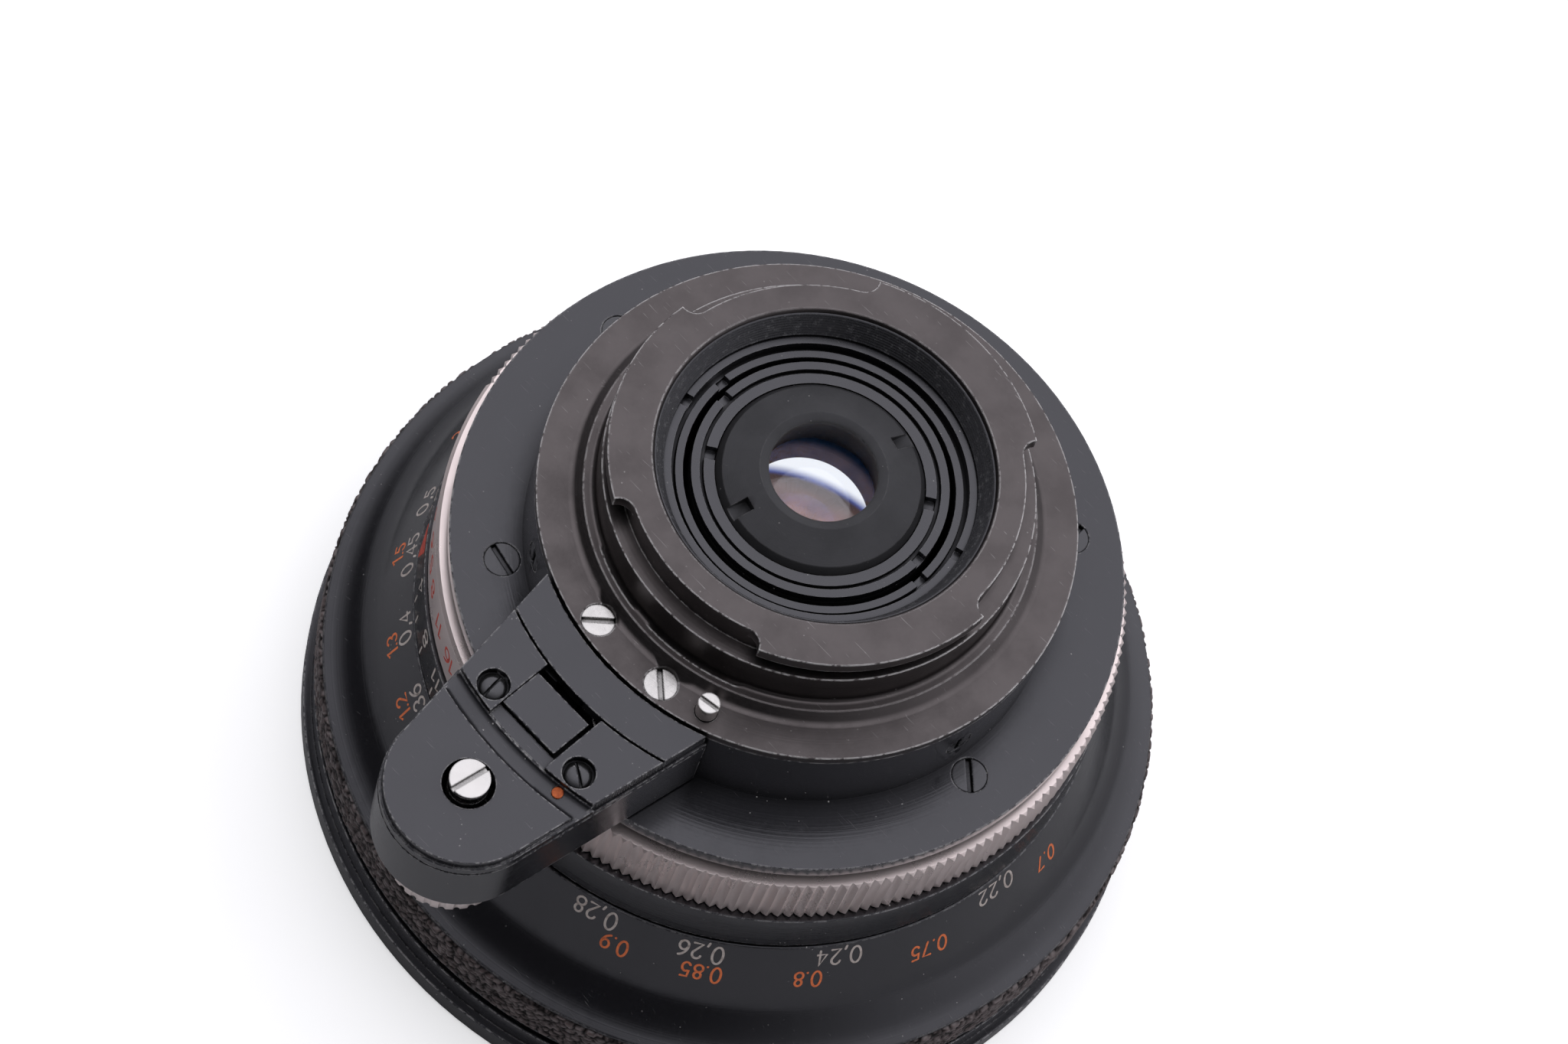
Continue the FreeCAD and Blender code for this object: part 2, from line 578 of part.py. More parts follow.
def make_aperture_ring():
    knurl = new("Part::Feature", "knurl")
    face = Part.Face(knurl_outline())
    height = d.aperture_top_z.number - d.aperture_low_z.number
    knurl.Shape = face.extrude(FreeCAD.Vector(0, 0, height))
    knurl.Placement = FreeCAD.Placement(
        FreeCAD.Vector(0, 0, d.aperture_low_z.number), FreeCAD.Rotation())
    envelope = turned("knurl_envelope", [
        (d.barrel_outer + d.play, d.aperture_low_z),
        (d.aperture_radius - d.knurl_edge, d.aperture_low_z),
        (d.aperture_radius, d.aperture_low_z + d.knurl_edge),
        (d.aperture_radius, d.aperture_top_z - d.knurl_edge),
        (d.aperture_radius - d.knurl_edge, d.aperture_top_z),
        (d.barrel_outer + d.play, d.aperture_top_z)])
    holes = [radial("coupling_hole", d.coupling_radius, d.barrel_outer - 1,
                    d.coupling_outer, d.coupling_z, d.coupling_angle)]
    for click in range(int(d.click_count.number)):
        angle = d.ball_angle.number + click * d.click_step.number
        x, y = around(d.barrel_outer + d.play + d.click_depth - d.ball_radius, angle)
        holes.append(cylinder("click_%d" % click, d.ball_radius, d.aperture_low_z - 1,
                              d.ball_z + d.ball_radius, x, y))
    keep(cut("aperture", common("aperture_blank", envelope, knurl), *holes), "aperture_ring")


def make_preset_ring():
    ring = tube("preset_blank", d.preset_inner, d.barrel_inner - d.play * 2, d.preset_low_z,
                d.preset_top_z)
    hole = radial("preset_hole", d.coupling_radius, d.coupling_inner, d.barrel_inner + 1,
                  d.coupling_z, d.coupling_angle)
    keep(cut("preset", ring, hole), "preset_ring")
    pin = radial("coupling_pin", d.coupling_radius, d.coupling_inner, d.coupling_outer,
                 d.coupling_z, d.coupling_angle)
    keep(pin, "coupling_screw")


# ------------------------------------------------------------------ focus ring

def make_focus_ring():
    blank = turned("focus_blank", [
        (d.helicoid_radius, d.focus_low_z), (d.band_radius, d.focus_low_z),
        (d.band_radius, d.grip_low_z), (d.grip_seat, d.grip_low_z),
        (d.grip_seat, d.grip_top_z), (d.flare_end_radius, d.grip_top_z),
        (d.flare_end_radius, d.flare_end_z, -d.flare_curve),
        (d.flare_start_radius, d.flare_start_z), (d.focus_top_radius, d.focus_top_z),
        (d.barrel_outer + d.play, d.focus_top_z),
        (d.barrel_outer + d.play, d.keeper_room_top_z),
        (d.keeper_room, d.keeper_room_top_z), (d.keeper_room, d.helicoid_top_z),
        (d.helicoid_radius, d.helicoid_top_z)])
    groove = sector("stop_groove", d.keeper_room - 1, d.stop_groove_radius,
                    d.stop_pin_z - d.stop_pin_radius - d.play, d.keeper_room_top_z,
                    d.stop_angle - d.focus_turn_far - d.stop_margin,
                    d.focus_turn_far + d.focus_turn_near + d.stop_margin * 2)
    keep(cut("focus", blank, groove), "focus_ring")
    keep(tube("grip", d.grip_seat, d.grip_radius, d.grip_low_z, d.grip_top_z), "focus_grip")


def make_keeper():
    ring = tube("keeper_blank", d.barrel_outer, d.keeper_radius, d.barrel_low_z, d.keeper_top_z)
    pin = radial("stop_pin_blank", d.stop_pin_radius, d.barrel_outer + 1,
                 d.stop_groove_radius - d.play * 2, d.stop_pin_z, d.stop_angle)
    hole = radial("stop_pin_hole", d.stop_pin_radius, d.barrel_outer + 1,
                  d.keeper_radius + 1, d.stop_pin_z, d.stop_angle)
    keep(cut("keeper", ring, hole), "focus_keeper_ring")
    keep(pin, "focus_stop_pin")


# ------------------------------------------------------------------ moving head

def make_head_shell():
    keep(turned("head_shell", [
        (d.head_inner, d.web_low_z), (d.web_radius, d.web_low_z),
        (d.web_radius, d.web_top_z), (d.helicoid_radius - d.play, d.web_top_z),
        (d.helicoid_radius - d.play, d.head_top_z), (d.head_inner, d.head_top_z)]),
        "head_barrel")
    keep(turned("rim", [
        (d.filter_radius, d.front_z + d.rim_edge), (d.filter_radius + d.rim_edge, d.front_z),
        (d.rim_radius - d.rim_edge, d.front_z), (d.rim_radius, d.front_z + d.rim_edge),
        (d.rim_radius, d.rim_top_z), (d.band_radius, d.rim_top_z),
        (d.band_radius, d.band_top_z), (d.web_radius, d.band_top_z),
        (d.web_radius, d.filter_low_z), (d.filter_radius, d.filter_low_z)]), "front_rim")


def make_front_optics():
    front_edge, front_seat = lens("front_element", d.front_rim_r, d.front_v, d.front_curve,
                                  d.front_back_v, d.front_back_curve, d.front_clear)
    second_edge, second_seat = lens("second_element", d.second_rim_r, d.second_v,
                                    d.second_curve, d.second_back_v, d.second_back_curve,
                                    d.second_clear)
    third_edge, _ = lens("third_element", d.third_rim_r, d.third_v, d.third_curve,
                         d.third_back_v, d.third_curve)
    third_seat = d.third_back_v - sag(d.third_curve, d.optics_bore)
    keep(turned("name_blank", [
        (d.name_inner, d.name_lip_z), (d.name_corner, d.name_corner_z),
        (d.web_radius - d.play * 2, d.filter_low_z),
        (d.web_radius - d.play * 2, d.web_low_z), (d.head_inner, d.web_low_z),
        (d.head_inner, d.name_seat_z), (d.front_rim_r + d.play, d.name_seat_z),
        (d.name_inner, d.front_v + sag(d.front_curve, d.name_inner) - d.element_gap)]),
        "name_ring")
    blank = turned("optics_blank", [
        (d.front_rim_r, d.name_seat_z), (d.head_inner, d.name_seat_z),
        (d.head_inner, d.head_top_z), (d.optics_guide, d.head_top_z),
        (d.optics_guide, d.optics_guide_top_z), (d.optics_neck, d.optics_guide_top_z),
        (d.optics_neck, d.iris_low_z), (d.optics_bore, d.iris_low_z),
        (d.optics_bore, third_seat), (d.third_rim_r, third_seat),
        (d.third_rim_r, second_seat), (d.second_rim_r, second_seat),
        (d.second_rim_r, front_seat), (d.front_rim_r, front_seat)])
    keyway = block("keyway", -d.optics_guide - 1, -d.key_inner + d.play * 4,
                   -d.key_width / 2 - d.play, d.key_width / 2 + d.play,
                   d.head_top_z + d.play, d.optics_guide_top_z + 1)
    keep(cut("optics", blank, keyway), "optics_barrel")
    ring_top = second_edge - sag(d.second_curve, d.second_rim_r) + sag(
        d.second_curve, d.second_rim_r - d.lens_ring_width) - d.element_gap
    keep(tube("second_ring", d.second_rim_r - d.lens_ring_width, d.second_rim_r,
              ring_top - d.lens_ring_height, ring_top), "second_lens_ring")
    ring_top = third_edge - sag(d.third_curve, d.third_rim_r) + sag(
        d.third_curve, d.third_rim_r - d.lens_ring_width) - d.element_gap
    keep(tube("third_ring", d.third_rim_r - d.lens_ring_width, d.third_rim_r,
              ring_top - d.lens_ring_height, ring_top), "third_lens_ring")


def make_guide_key():
    key = block("key_block", -d.barrel_inner - 1, -d.key_inner, -d.key_width / 2,
                d.key_width / 2, d.key_low_z, d.key_top_z)
    limit = cylinder("key_limit", d.barrel_inner, d.key_low_z, d.key_top_z)
    keep(common("key", key, limit), "guide_key")


# ----------------------------------------------------------------------- iris

BLADE_COUNT = 6


def make_iris_housing():
    blank = turned("housing_blank", [
        (d.iris_throat, d.iris_low_z), (d.iris_outer, d.iris_low_z),
        (d.iris_outer, d.iris_wall_top_z), (d.iris_wall_inner, d.iris_wall_top_z),
        (d.iris_wall_inner, d.iris_floor_z), (d.iris_throat, d.iris_floor_z)])
    holes = []
    for index in range(BLADE_COUNT):
        x, y = around(d.blade_pivot, 360 / BLADE_COUNT * index)
        holes.append(cylinder("pivot_hole_%d" % index, d.blade_pin + d.play,
                              d.iris_low_z - 1, d.iris_floor_z + 1, x, y))
    keep(cut("housing", blank, *holes), "iris_housing")


CAM_STEPS = 8


def drive_slot_outline():
    """Cam slot in the drive ring: path of a blade's drive pin as both parts turn."""
    pivot = FreeCAD.Vector(d.blade_pivot.number, 0, 0)
    pin = FreeCAD.Vector(*[v.number for v in around(d.blade_pivot, d.blade_drive_angle)], 0)
    reach = pin - pivot
    width = d.blade_pin.number + d.play.number * 2
    path = []
    for step in range(-1, CAM_STEPS + 2):
        share = step / CAM_STEPS
        blade = FreeCAD.Rotation(FreeCAD.Vector(0, 0, 1), d.blade_turn.number * share)
        ring = FreeCAD.Rotation(FreeCAD.Vector(0, 0, 1), -d.drive_turn.number * share)
        path.append(ring.multVec(pivot + blade.multVec(reach)))
    left, right = [], []
    for before, point, after in zip(path, path[1:], path[2:]):
        along = (after - before).normalize()
        side = FreeCAD.Vector(-along.y, along.x, 0) * width
        left.append(point + side)
        right.append(point - side)
    caps = []
    for end, inward in ((path[1], path[2]), (path[-2], path[-3])):
        caps.append(end + (end - inward).normalize() * width)
    walls = Part.BSplineCurve(), Part.BSplineCurve()
    walls[0].interpolate(left)
    walls[1].interpolate(right)
    edges = [walls[0].toShape(), Part.Arc(left[-1], caps[1], right[-1]).toShape(),
             walls[1].toShape(), Part.Arc(right[0], caps[0], left[0]).toShape()]
    return Part.Wire(Part.__sortEdges__(edges))


def make_drive_ring():
    blank = tube("drive_blank", d.drive_inner, d.iris_wall_inner - d.play * 2,
                 d.drive_low_z, d.drive_top_z)
    slots = new("Part::Feature", "drive_slots")
    face = Part.Face(drive_slot_outline())
    height = d.drive_top_z.number - d.drive_low_z.number + 2
    solids = []
    for index in range(BLADE_COUNT):
        slot = face.extrude(FreeCAD.Vector(0, 0, height))
        slot.translate(FreeCAD.Vector(0, 0, d.drive_low_z.number - 1))
        slot.rotate(FreeCAD.Vector(0, 0, 0), FreeCAD.Vector(0, 0, 1), 360 / BLADE_COUNT * index)
        solids.append(slot)
    slots.Shape = Part.makeCompound(solids)
    x, y = around(d.drive_pin_circle, d.drive_pin_angle)
    pin = cylinder("drive_pin", d.drive_pin_radius, d.drive_low_z, d.drive_pin_top_z, x, y)
    keep(fuse("drive", cut("drive_cut", blank, slots), pin), "iris_drive_ring")


def make_blade(index):
    name = "blade_%d" % (index + 1)
    low = d.blade_first_z + d.blade_pitch * index
    high = low + d.blade_thickness
    band = sector(name + "_band", d.blade_inner, d.blade_outer, low, high, ZERO, d.blade_sweep)
    drive = around(d.blade_pivot, d.blade_drive_angle)
    middle = (d.blade_inner + d.blade_outer) / 2
    half = (d.blade_outer - d.blade_inner) / 2
    pieces = [
        band,
        cylinder(name + "_root", half, low, high, middle),
        cylinder(name + "_tail", half, low, high, *around(middle, d.blade_sweep)),
        cylinder(name + "_tab", d.blade_tab, low, high, d.blade_pivot),
        cylinder(name + "_drive_tab", d.blade_tab * 0.8, low, high, *drive),
        cylinder(name + "_pivot", d.blade_pin, d.blade_pin_low_z, low, d.blade_pivot),
        cylinder(name + "_drive_pin", d.blade_pin, high, d.blade_pin_top_z, *drive)]
    blade = fuse(name + "_blank", *pieces)
    blade.Placement = FreeCAD.Placement(
        FreeCAD.Vector(0, 0, 0),
        FreeCAD.Rotation(FreeCAD.Vector(0, 0, 1), 360 / BLADE_COUNT * index))
    keep(blade, "iris_blade_%d" % (index + 1))


# ------------------------------------------------------- rear tube and rear cell

def make_rear_tubes():
    keep(turned("guide_sleeve_blank", [
        (d.guide_inner, d.guide_low_z), (d.sleeve_radius, d.guide_low_z),
        (d.sleeve_radius, d.guide_top_z), (d.inner_ring_radius, d.guide_top_z),
        (d.inner_ring_radius, d.guide_step_z), (d.guide_inner, d.guide_step_z)]),
        "guide_sleeve")
    slotted_ring("sleeve_lock_ring", d.outer_ring_inner, d.sleeve_radius, d.guide_top_z,
                 d.outer_ring_z, d.outer_ring_slot)
    slotted_ring("sleeve_inner_ring", d.inner_ring_inner + d.play, d.inner_ring_radius,
                 d.guide_step_z, d.inner_ring_z, d.inner_ring_slot)


def make_rear_tube():
    fourth_seat = d.fourth_v + sag(d.fourth_curve, d.iris_throat)
    blank = turned("rear_tube_blank", [
        (d.iris_throat, d.iris_wall_top_z), (d.iris_outer, d.iris_wall_top_z),
        (d.iris_outer, d.tube_flange_z), (d.tube_radius, d.tube_flange_z),
        (d.tube_radius, d.tube_top_z), (d.tube_lip, d.tube_top_z),
        (d.tube_lip, d.tube_lip_z), (d.cell_ring_radius, d.tube_lip_z),
        (d.cell_ring_radius, d.cell_seat_z), (d.cell_radius, d.cell_seat_z),
        (d.cell_radius, d.cell_low_z), (d.rear_bore, d.cell_low_z),
        (d.rear_bore, fourth_seat), (d.iris_throat, fourth_seat)])
    slot = sector("drive_pin_slot", d.drive_pin_circle - d.drive_pin_radius - d.play * 3,
                  d.drive_pin_circle + d.drive_pin_radius + d.play * 3,
                  d.iris_wall_top_z - 1, d.tube_flange_z + 1,
                  d.drive_pin_angle - d.drive_slot_margin,
                  d.drive_turn + d.drive_slot_margin * 2)
    keep(cut("rear_tube_cut", blank, slot), "rear_tube")
    slotted_ring("rear_tube_ring", d.tube_lip, d.tube_radius, d.tube_top_z, d.tube_ring_z,
                 d.tube_ring_slot)
    slotted_ring("rear_cell_ring", d.cell_ring_inner, d.cell_ring_radius, d.cell_flange_z,
                 d.cell_ring_z, d.cell_ring_slot)


def make_rear_cell():
    rear_seat = d.rear_back_v - sag(d.rear_back_curve, d.cell_throat)
    blank = turned("rear_cell_blank", [
        (d.rear_rim_r, d.cell_low_z), (d.cell_radius, d.cell_low_z),
        (d.cell_radius, d.cell_seat_z), (d.cell_ring_radius, d.cell_seat_z),
        (d.cell_ring_radius, d.cell_flange_z), (d.cell_shoulder, d.cell_flange_z),
        (d.cell_shoulder, d.cell_shoulder_z), (d.cell_edge, d.cell_edge_z),
        (d.cell_crown, d.cell_crown_z), (d.cell_opening, d.cell_opening_z),
        (d.cell_throat, rear_seat), (d.rear_rim_r, rear_seat)])
    slots = []
    for index, angle in enumerate((d.cell_slot.number, d.cell_slot.number + 180)):
        slot = block("cell_slot_%d" % index, d.cell_edge - d.ring_slot_width * 1.3,
                     d.cell_edge + 1, -d.ring_slot_width / 2, d.ring_slot_width / 2,
                     d.cell_edge_z - d.ring_slot_depth / 2, d.cell_crown_z)
        slots.append(spun(slot, angle))
    keep(cut("cell", blank, *slots), "rear_cell")


def make_rear_optics():
    lens("fourth_element", d.rear_bore, d.fourth_v, d.fourth_curve, d.cement_v, d.cement_curve)
    _, fifth_edge = lens("fifth_element", d.rear_bore, d.cement_v, -d.cement_curve,
                         d.fifth_back_v, d.fifth_back_curve)
    sixth_edge, _ = lens("sixth_element", d.rear_bore, d.sixth_v, d.sixth_curve,
                         d.sixth_back_v, d.sixth_back_curve)
    lens("rear_element", d.rear_rim_r, d.rear_v, d.rear_curve, d.rear_back_v,
         d.rear_back_curve)
    inner = d.rear_bore - d.spacer_width
    front = tube("front_spacer", inner, d.rear_bore, fifth_edge, sixth_edge)
    rear = tube("rear_spacer", inner, d.rear_bore,
                d.sixth_back_v - sag(d.sixth_back_curve, inner), d.cell_low_z)
    keep(group("spacer_pair", [front, rear]), "rear_spacers")


# ---------------------------------------------------------------- release arm

# side of the arm's centre line, and which way the screw slot was left
ARM_SCREWS = ((-1, 5.9), (1, 59.1))


def arm_outline(name, low, high, inset=ZERO):
    """Arm plan: straight flanks from the root running tangent into the round tip."""
    tip_radius = d.arm_tip_radius - inset
    half_width = d.arm_half_width - inset
    body = new("PartDesign::Body", name + "_body")
    sketch = body.newObject("Sketcher::SketchObject", name + "_plan")
    plane = [o for o in body.Origin.OriginFeatures if o.Role == "XY_Plane"][0]
    sketch.AttachmentSupport = [(plane, "")]
    sketch.MapMode = "FlatFace"
    bind(sketch, "AttachmentOffset.Base.z", low)
    reach = math.hypot(d.plunger_x.number - d.arm_root_x.number, half_width.number)
    lean = math.atan2(half_width.number, d.arm_root_x.number - d.plunger_x.number)
    touch = lean - math.acos(tip_radius.number / reach)
    tip = FreeCAD.Vector(d.plunger_x.number, 0, 0)
    upper = tip + FreeCAD.Vector(math.cos(touch), math.sin(touch), 0) * tip_radius.number
    lower = FreeCAD.Vector(upper.x, -upper.y, 0)
    left = FreeCAD.Vector(d.arm_root_x.number, half_width.number, 0)
    right = FreeCAD.Vector(left.x, -left.y, 0)
    circle = Part.Circle(tip, FreeCAD.Vector(0, 0, 1), tip_radius.number)
    sketch.addGeometry(Part.LineSegment(right, lower))
    sketch.addGeometry(Part.ArcOfCircle(circle, -touch, touch))
    sketch.addGeometry(Part.LineSegment(upper, left))
    sketch.addGeometry(Part.LineSegment(left, right))
    sketch.addConstraint(Sketcher.Constraint("Tangent", 0, 2, 1, 1))
    sketch.addConstraint(Sketcher.Constraint("Tangent", 1, 2, 2, 1))
    sketch.addConstraint(Sketcher.Constraint("Coincident", 2, 2, 3, 1))
    sketch.addConstraint(Sketcher.Constraint("Coincident", 3, 2, 0, 1))
    for kind, edge, end, value in (
            ("DistanceX", 1, 3, d.plunger_x), ("DistanceY", 1, 3, ZERO),
            ("DistanceX", 2, 2, d.arm_root_x), ("DistanceY", 2, 2, half_width),
            ("DistanceX", 0, 1, d.arm_root_x), ("DistanceY", 0, 1, -half_width)):
        place = sketch.addConstraint(Sketcher.Constraint(kind, -1, 1, edge, end, value.number))
        bind(sketch, "Constraints[%d]" % place, value)
    place = sketch.addConstraint(Sketcher.Constraint("Radius", 1, tip_radius.number))
    bind(sketch, "Constraints[%d]" % place, tip_radius)
    pad = body.newObject("PartDesign::Pad", name + "_pad")
    pad.Profile = sketch
    bind(pad, "Length", as_size(high) - low)
    body.Tip = pad
    return body


def make_arm_housing():
    blank = fuse(
        "housing_blank_set",
        arm_outline("housing_lower", d.arm_low_z, d.seam_z),
        arm_outline("housing_seam", d.seam_z, d.seam_z + d.seam_width, d.seam_depth),
        arm_outline("housing_ledge", d.seam_z + d.seam_width, d.ledge_z, d.ledge_inset),
        arm_outline("housing_plate", d.ledge_z, ZERO, d.plate_inset))
    tools = [
        cylinder("arm_hub_bite", d.flange_radius, d.arm_low_z - 1, as_size(1)),
        cylinder("arm_deck", d.block_outer, d.arm_deck_z, as_size(1)),
        turned("arm_relief", [
            (d.block_outer, d.relief_edge_z, d.relief_curve),
            (d.relief_outer, d.relief_edge_z),
            (d.relief_outer, as_size(1)), (d.block_outer, as_size(1))]),
        cylinder("arm_plunger_hole", d.plunger_hole, d.arm_low_z - 1, as_size(1), d.plunger_x),
        cylinder("arm_sleeve_hole", d.sleeve_hole, d.arm_low_z - 1, d.sleeve_hole_z,
                 d.plunger_x),
        cylinder("arm_dot_hole", d.dot_radius, d.dot_z - d.dot_depth, as_size(1),
                 d.dot_x, d.dot_y),
        block("arm_channel", d.flange_radius, d.plunger_x, d.bar_left - d.window_gap,
              d.bar_right + d.window_gap, d.bar_low_z - d.play * 2,
              d.bar_top_z + d.play * 2),
        block("arm_neck_slot", d.flange_radius, d.tongue_outer + d.play,
              d.bar_left - d.window_gap, d.bar_right + d.window_gap, d.bar_top_z,
              as_size(1)),
        block("arm_tongue_well", d.band_outer, d.tongue_inner + 1, d.tongue_left - d.tongue_gap,
              d.tongue_right + d.tongue_gap_right, d.tongue_well_z, as_size(1)),
        block("arm_crank_room", d.flange_radius - 2, d.crank_x + d.crank_hub * 1.3,
              d.crank_y - d.crank_short - d.crank_nose * 2, d.crank_y + d.crank_hub * 1.3,
              d.crank_low_z - d.window_gap, as_size(1))]
    for side, _ in ARM_SCREWS:
        tools.append(cylinder("arm_thread_%d" % (side + 1), d.arm_screw_shank,
                              d.arm_screw_low_z, as_size(1), d.arm_screw_x,
                              d.arm_screw_y * side))
    keep(cut("arm_body", blank, *tools, crank_pin_blank("crank_pin_hole")), "arm_housing")


def crank_pin_blank(name):
    return cylinder(name, d.crank_pin_radius, d.arm_low_z + d.play, d.arm_deck_z,
                    d.crank_x, d.crank_y)


def deck_ring(name, inner, outer):
    """Part of the arm plan between two circles about the axis, above the deck."""
    plan = arm_outline(name + "_plate", d.arm_deck_z, ZERO, d.plate_inset)
    return common(name, plan, tube(name + "_zone", inner, outer, d.arm_deck_z - 1, as_size(1)))


def make_arm_plates():
    keep(deck_ring("band", d.band_inner, d.band_outer), "arm_band")
    left, right = d.tongue_left - d.tongue_gap, d.tongue_right + d.tongue_gap_right
    gaps = [block("tongue_gap", d.band_inner, d.tongue_outer + d.tongue_gap, left, right,
                  d.arm_deck_z - 1, as_size(1)),
            block("tongue_front", d.tongue_outer, d.block_outer + 1, left, right,
                  d.relief_edge_z, as_size(1))]
    holes = []
    screws = []
    for side, slot_angle in ARM_SCREWS:
        name = "arm_screw_%d" % (side + 1)
        x, y = d.arm_screw_x, d.arm_screw_y * side
        holes.append(screw_hole(name + "_hole", d.arm_screw_head, d.arm_screw_shank, ZERO,
                                d.arm_screw_low_z, x, y))
        screws.append(screw(name, d.arm_screw_head, d.arm_screw_shank, ZERO,
                            d.arm_screw_low_z, slot_angle, x, y))
    keep(cut("blocks", deck_ring("block_pair", d.block_inner, d.block_outer), *gaps,
             *holes),
         "arm_blocks")
    keep(group("arm_screw_pair", screws), "arm_screws")
    keep(cylinder("dot", d.dot_radius, d.dot_z - d.dot_depth, d.dot_z, d.dot_x, d.dot_y),
         "arm_index_dot")
    keep(crank_pin_blank("crank_pin_rod"), "crank_pin")


# -------------------------------------------------- slide, crank, plunger, button

def make_slide():
    nose = crank_nose_point()
    inner = nose.x + d.crank_nose.number + d.play.number
    bar = block("slide_bar", as_size(inner), d.plunger_x - d.slide_reach, d.bar_left,
                d.bar_right, d.bar_low_z, d.bar_top_z)
    neck = block("slide_neck", d.tongue_inner, d.tongue_outer, d.bar_left, d.bar_right,
                 d.bar_top_z, d.arm_deck_z + d.play)
    tongue = block("slide_tongue", d.tongue_inner, d.tongue_outer, d.tongue_left,
                   d.tongue_right, d.arm_deck_z + d.play, -d.screw_sink)
    keep(fuse("slide", bar, neck, tongue), "transfer_slide")


def crank_nose_point():
    """Centre of the crank's nose at rest, half a stroke ahead of square."""
    angle = math.radians(-90 + d.crank_turn.number / 2)
    return FreeCAD.Vector(d.crank_x.number + d.crank_short.number * math.cos(angle),
                          d.crank_y.number + d.crank_short.number * math.sin(angle), 0)


def make_crank():
    x, y = d.crank_x.number, d.crank_y.number
    nose = crank_nose_point()
    half = d.crank_arm_width / 2
    hub = cylinder("crank_hub", d.crank_hub, d.crank_low_z, d.crank_top_z, d.crank_x, d.crank_y)
    tip = cylinder("crank_nose", d.crank_nose, d.crank_upper_z, d.crank_top_z,
                   as_size(nose.x), as_size(nose.y))
    narrow = d.crank_nose - d.play * 3
    short = block("crank_short", d.crank_x, d.crank_x + d.crank_short, d.crank_y - narrow,
                  d.crank_y + narrow, d.crank_upper_z, d.crank_top_z)
    spun(short, -90 + d.crank_turn.number / 2, x, y)
    pin_x, pin_y = [v.number for v in around(d.drive_pin_circle, d.drive_pin_angle)]
    toward = math.degrees(math.atan2(pin_y - y, pin_x - x))
    long_arm = block("crank_long", d.crank_x,
                     d.crank_x + d.crank_long - d.crank_fork_depth,
                     d.crank_y - half, d.crank_y + half, d.crank_low_z, d.crank_lower_z)
    spun(long_arm, toward, x, y)
    head_x = d.crank_x.number + d.crank_long.number * math.cos(math.radians(toward))
    head_y = d.crank_y.number + d.crank_long.number * math.sin(math.radians(toward))
    head = cylinder("crank_head", d.crank_head, d.crank_low_z, d.crank_lower_z,
                    as_size(head_x), as_size(head_y))
    fork = block("crank_fork", d.crank_x + d.crank_long - d.crank_fork_depth,
                 d.crank_x + d.crank_long + d.crank_head * 2, d.crank_y - d.crank_fork / 2,
                 d.crank_y + d.crank_fork / 2, d.crank_low_z - 1, d.crank_lower_z + 1)
    spun(fork, toward, x, y)
    bore = cylinder("crank_bore", d.crank_pin_radius + d.play, d.crank_low_z - 1,
                    d.crank_top_z + 1, d.crank_x, d.crank_y)
    keep(cut("crank", fuse("crank_blank", hub, tip, short, long_arm, head), fork, bore),
         "transfer_crank")


def make_plunger():
    rod = turned("rod_blank", [
        (ZERO, d.rod_low_z), (d.rod_radius, d.rod_low_z), (d.rod_radius, d.rod_cone_low_z),
        (d.rod_neck, d.rod_neck_z), (d.rod_neck, d.rod_head_z),
        (d.rod_head_radius, d.rod_head_z), (d.rod_head_radius, d.rod_top_z),
        (ZERO, d.rod_top_z)])
    hole = cylinder("rod_thread", d.plunger_shank, d.plunger_shank_z, as_size(1))
    finished = cut("rod", rod, hole)
    finished.Placement.Base.x = d.plunger_x.number
    keep(finished, "plunger_rod")
    head = fuse("head_blank",
                cylinder("head_disc", d.rod_head_radius, d.rod_top_z, d.plunger_head_z,
                         d.plunger_x),
                cylinder("head_shank", d.plunger_shank, d.plunger_shank_z, d.rod_top_z,
                         d.plunger_x))
    slot = block("head_slot", d.plunger_x - d.plunger_hole, d.plunger_x + d.plunger_hole,
                 -d.screw_slot_width / 2, d.screw_slot_width / 2,
                 d.plunger_head_z - d.screw_slot_depth, d.plunger_head_z + 1)
    keep(cut("head", head, spun(slot, d.plunger_slot_angle.number, d.plunger_x.number)),
         "plunger_screw")


def make_button():
    x = d.plunger_x
    disc = cylinder("button_disc", d.button_radius, d.button_low_z, d.button_top_z, x)
    sleeve = cylinder("button_sleeve", d.button_sleeve, d.button_top_z, d.button_sleeve_z, x)
    bores = [cylinder("button_bore", d.button_sleeve_inner, d.button_top_z,
                      d.button_sleeve_z + 1, x),
             cylinder("button_rod_hole", d.rod_radius, d.rod_low_z, d.button_top_z + 1, x)]
    teeth = int(d.button_teeth.number)
    for index in range(teeth):
        dx, dy = around(d.button_radius + d.button_tooth_depth / 2, 360 / teeth * index)
        bores.append(cylinder("button_flute_%d" % index, d.button_tooth_depth,
                              d.button_low_z - 1, d.button_top_z + d.play, x + dx, dy))
    keep(cut("button", fuse("button_blank", disc, sleeve), *bores), "release_button")


def make_spring():
    spring = new("Part::Feature", "spring")
    low = d.button_top_z.number + d.spring_wire.number / 2
    high = d.sleeve_hole_z.number - d.spring_wire.number / 2
    turns = d.spring_turns.number
    helix = Part.makeHelix((high - low) / turns, high - low, d.spring_radius.number)
    wire = Part.Wire(helix.Edges)
    start = wire.Edges[0].valueAt(wire.Edges[0].FirstParameter)
    circle = Part.makeCircle(d.spring_wire.number / 2, start, FreeCAD.Vector(0, 1, 0))
    coil = wire.makePipeShell([Part.Wire(circle)], True, True)
    spring.Shape = coil
    spring.Placement = FreeCAD.Placement(
        FreeCAD.Vector(d.plunger_x.number, 0, low), FreeCAD.Rotation())
    keep(spring, "return_spring")


# ---------------------------------------------------------------------- build

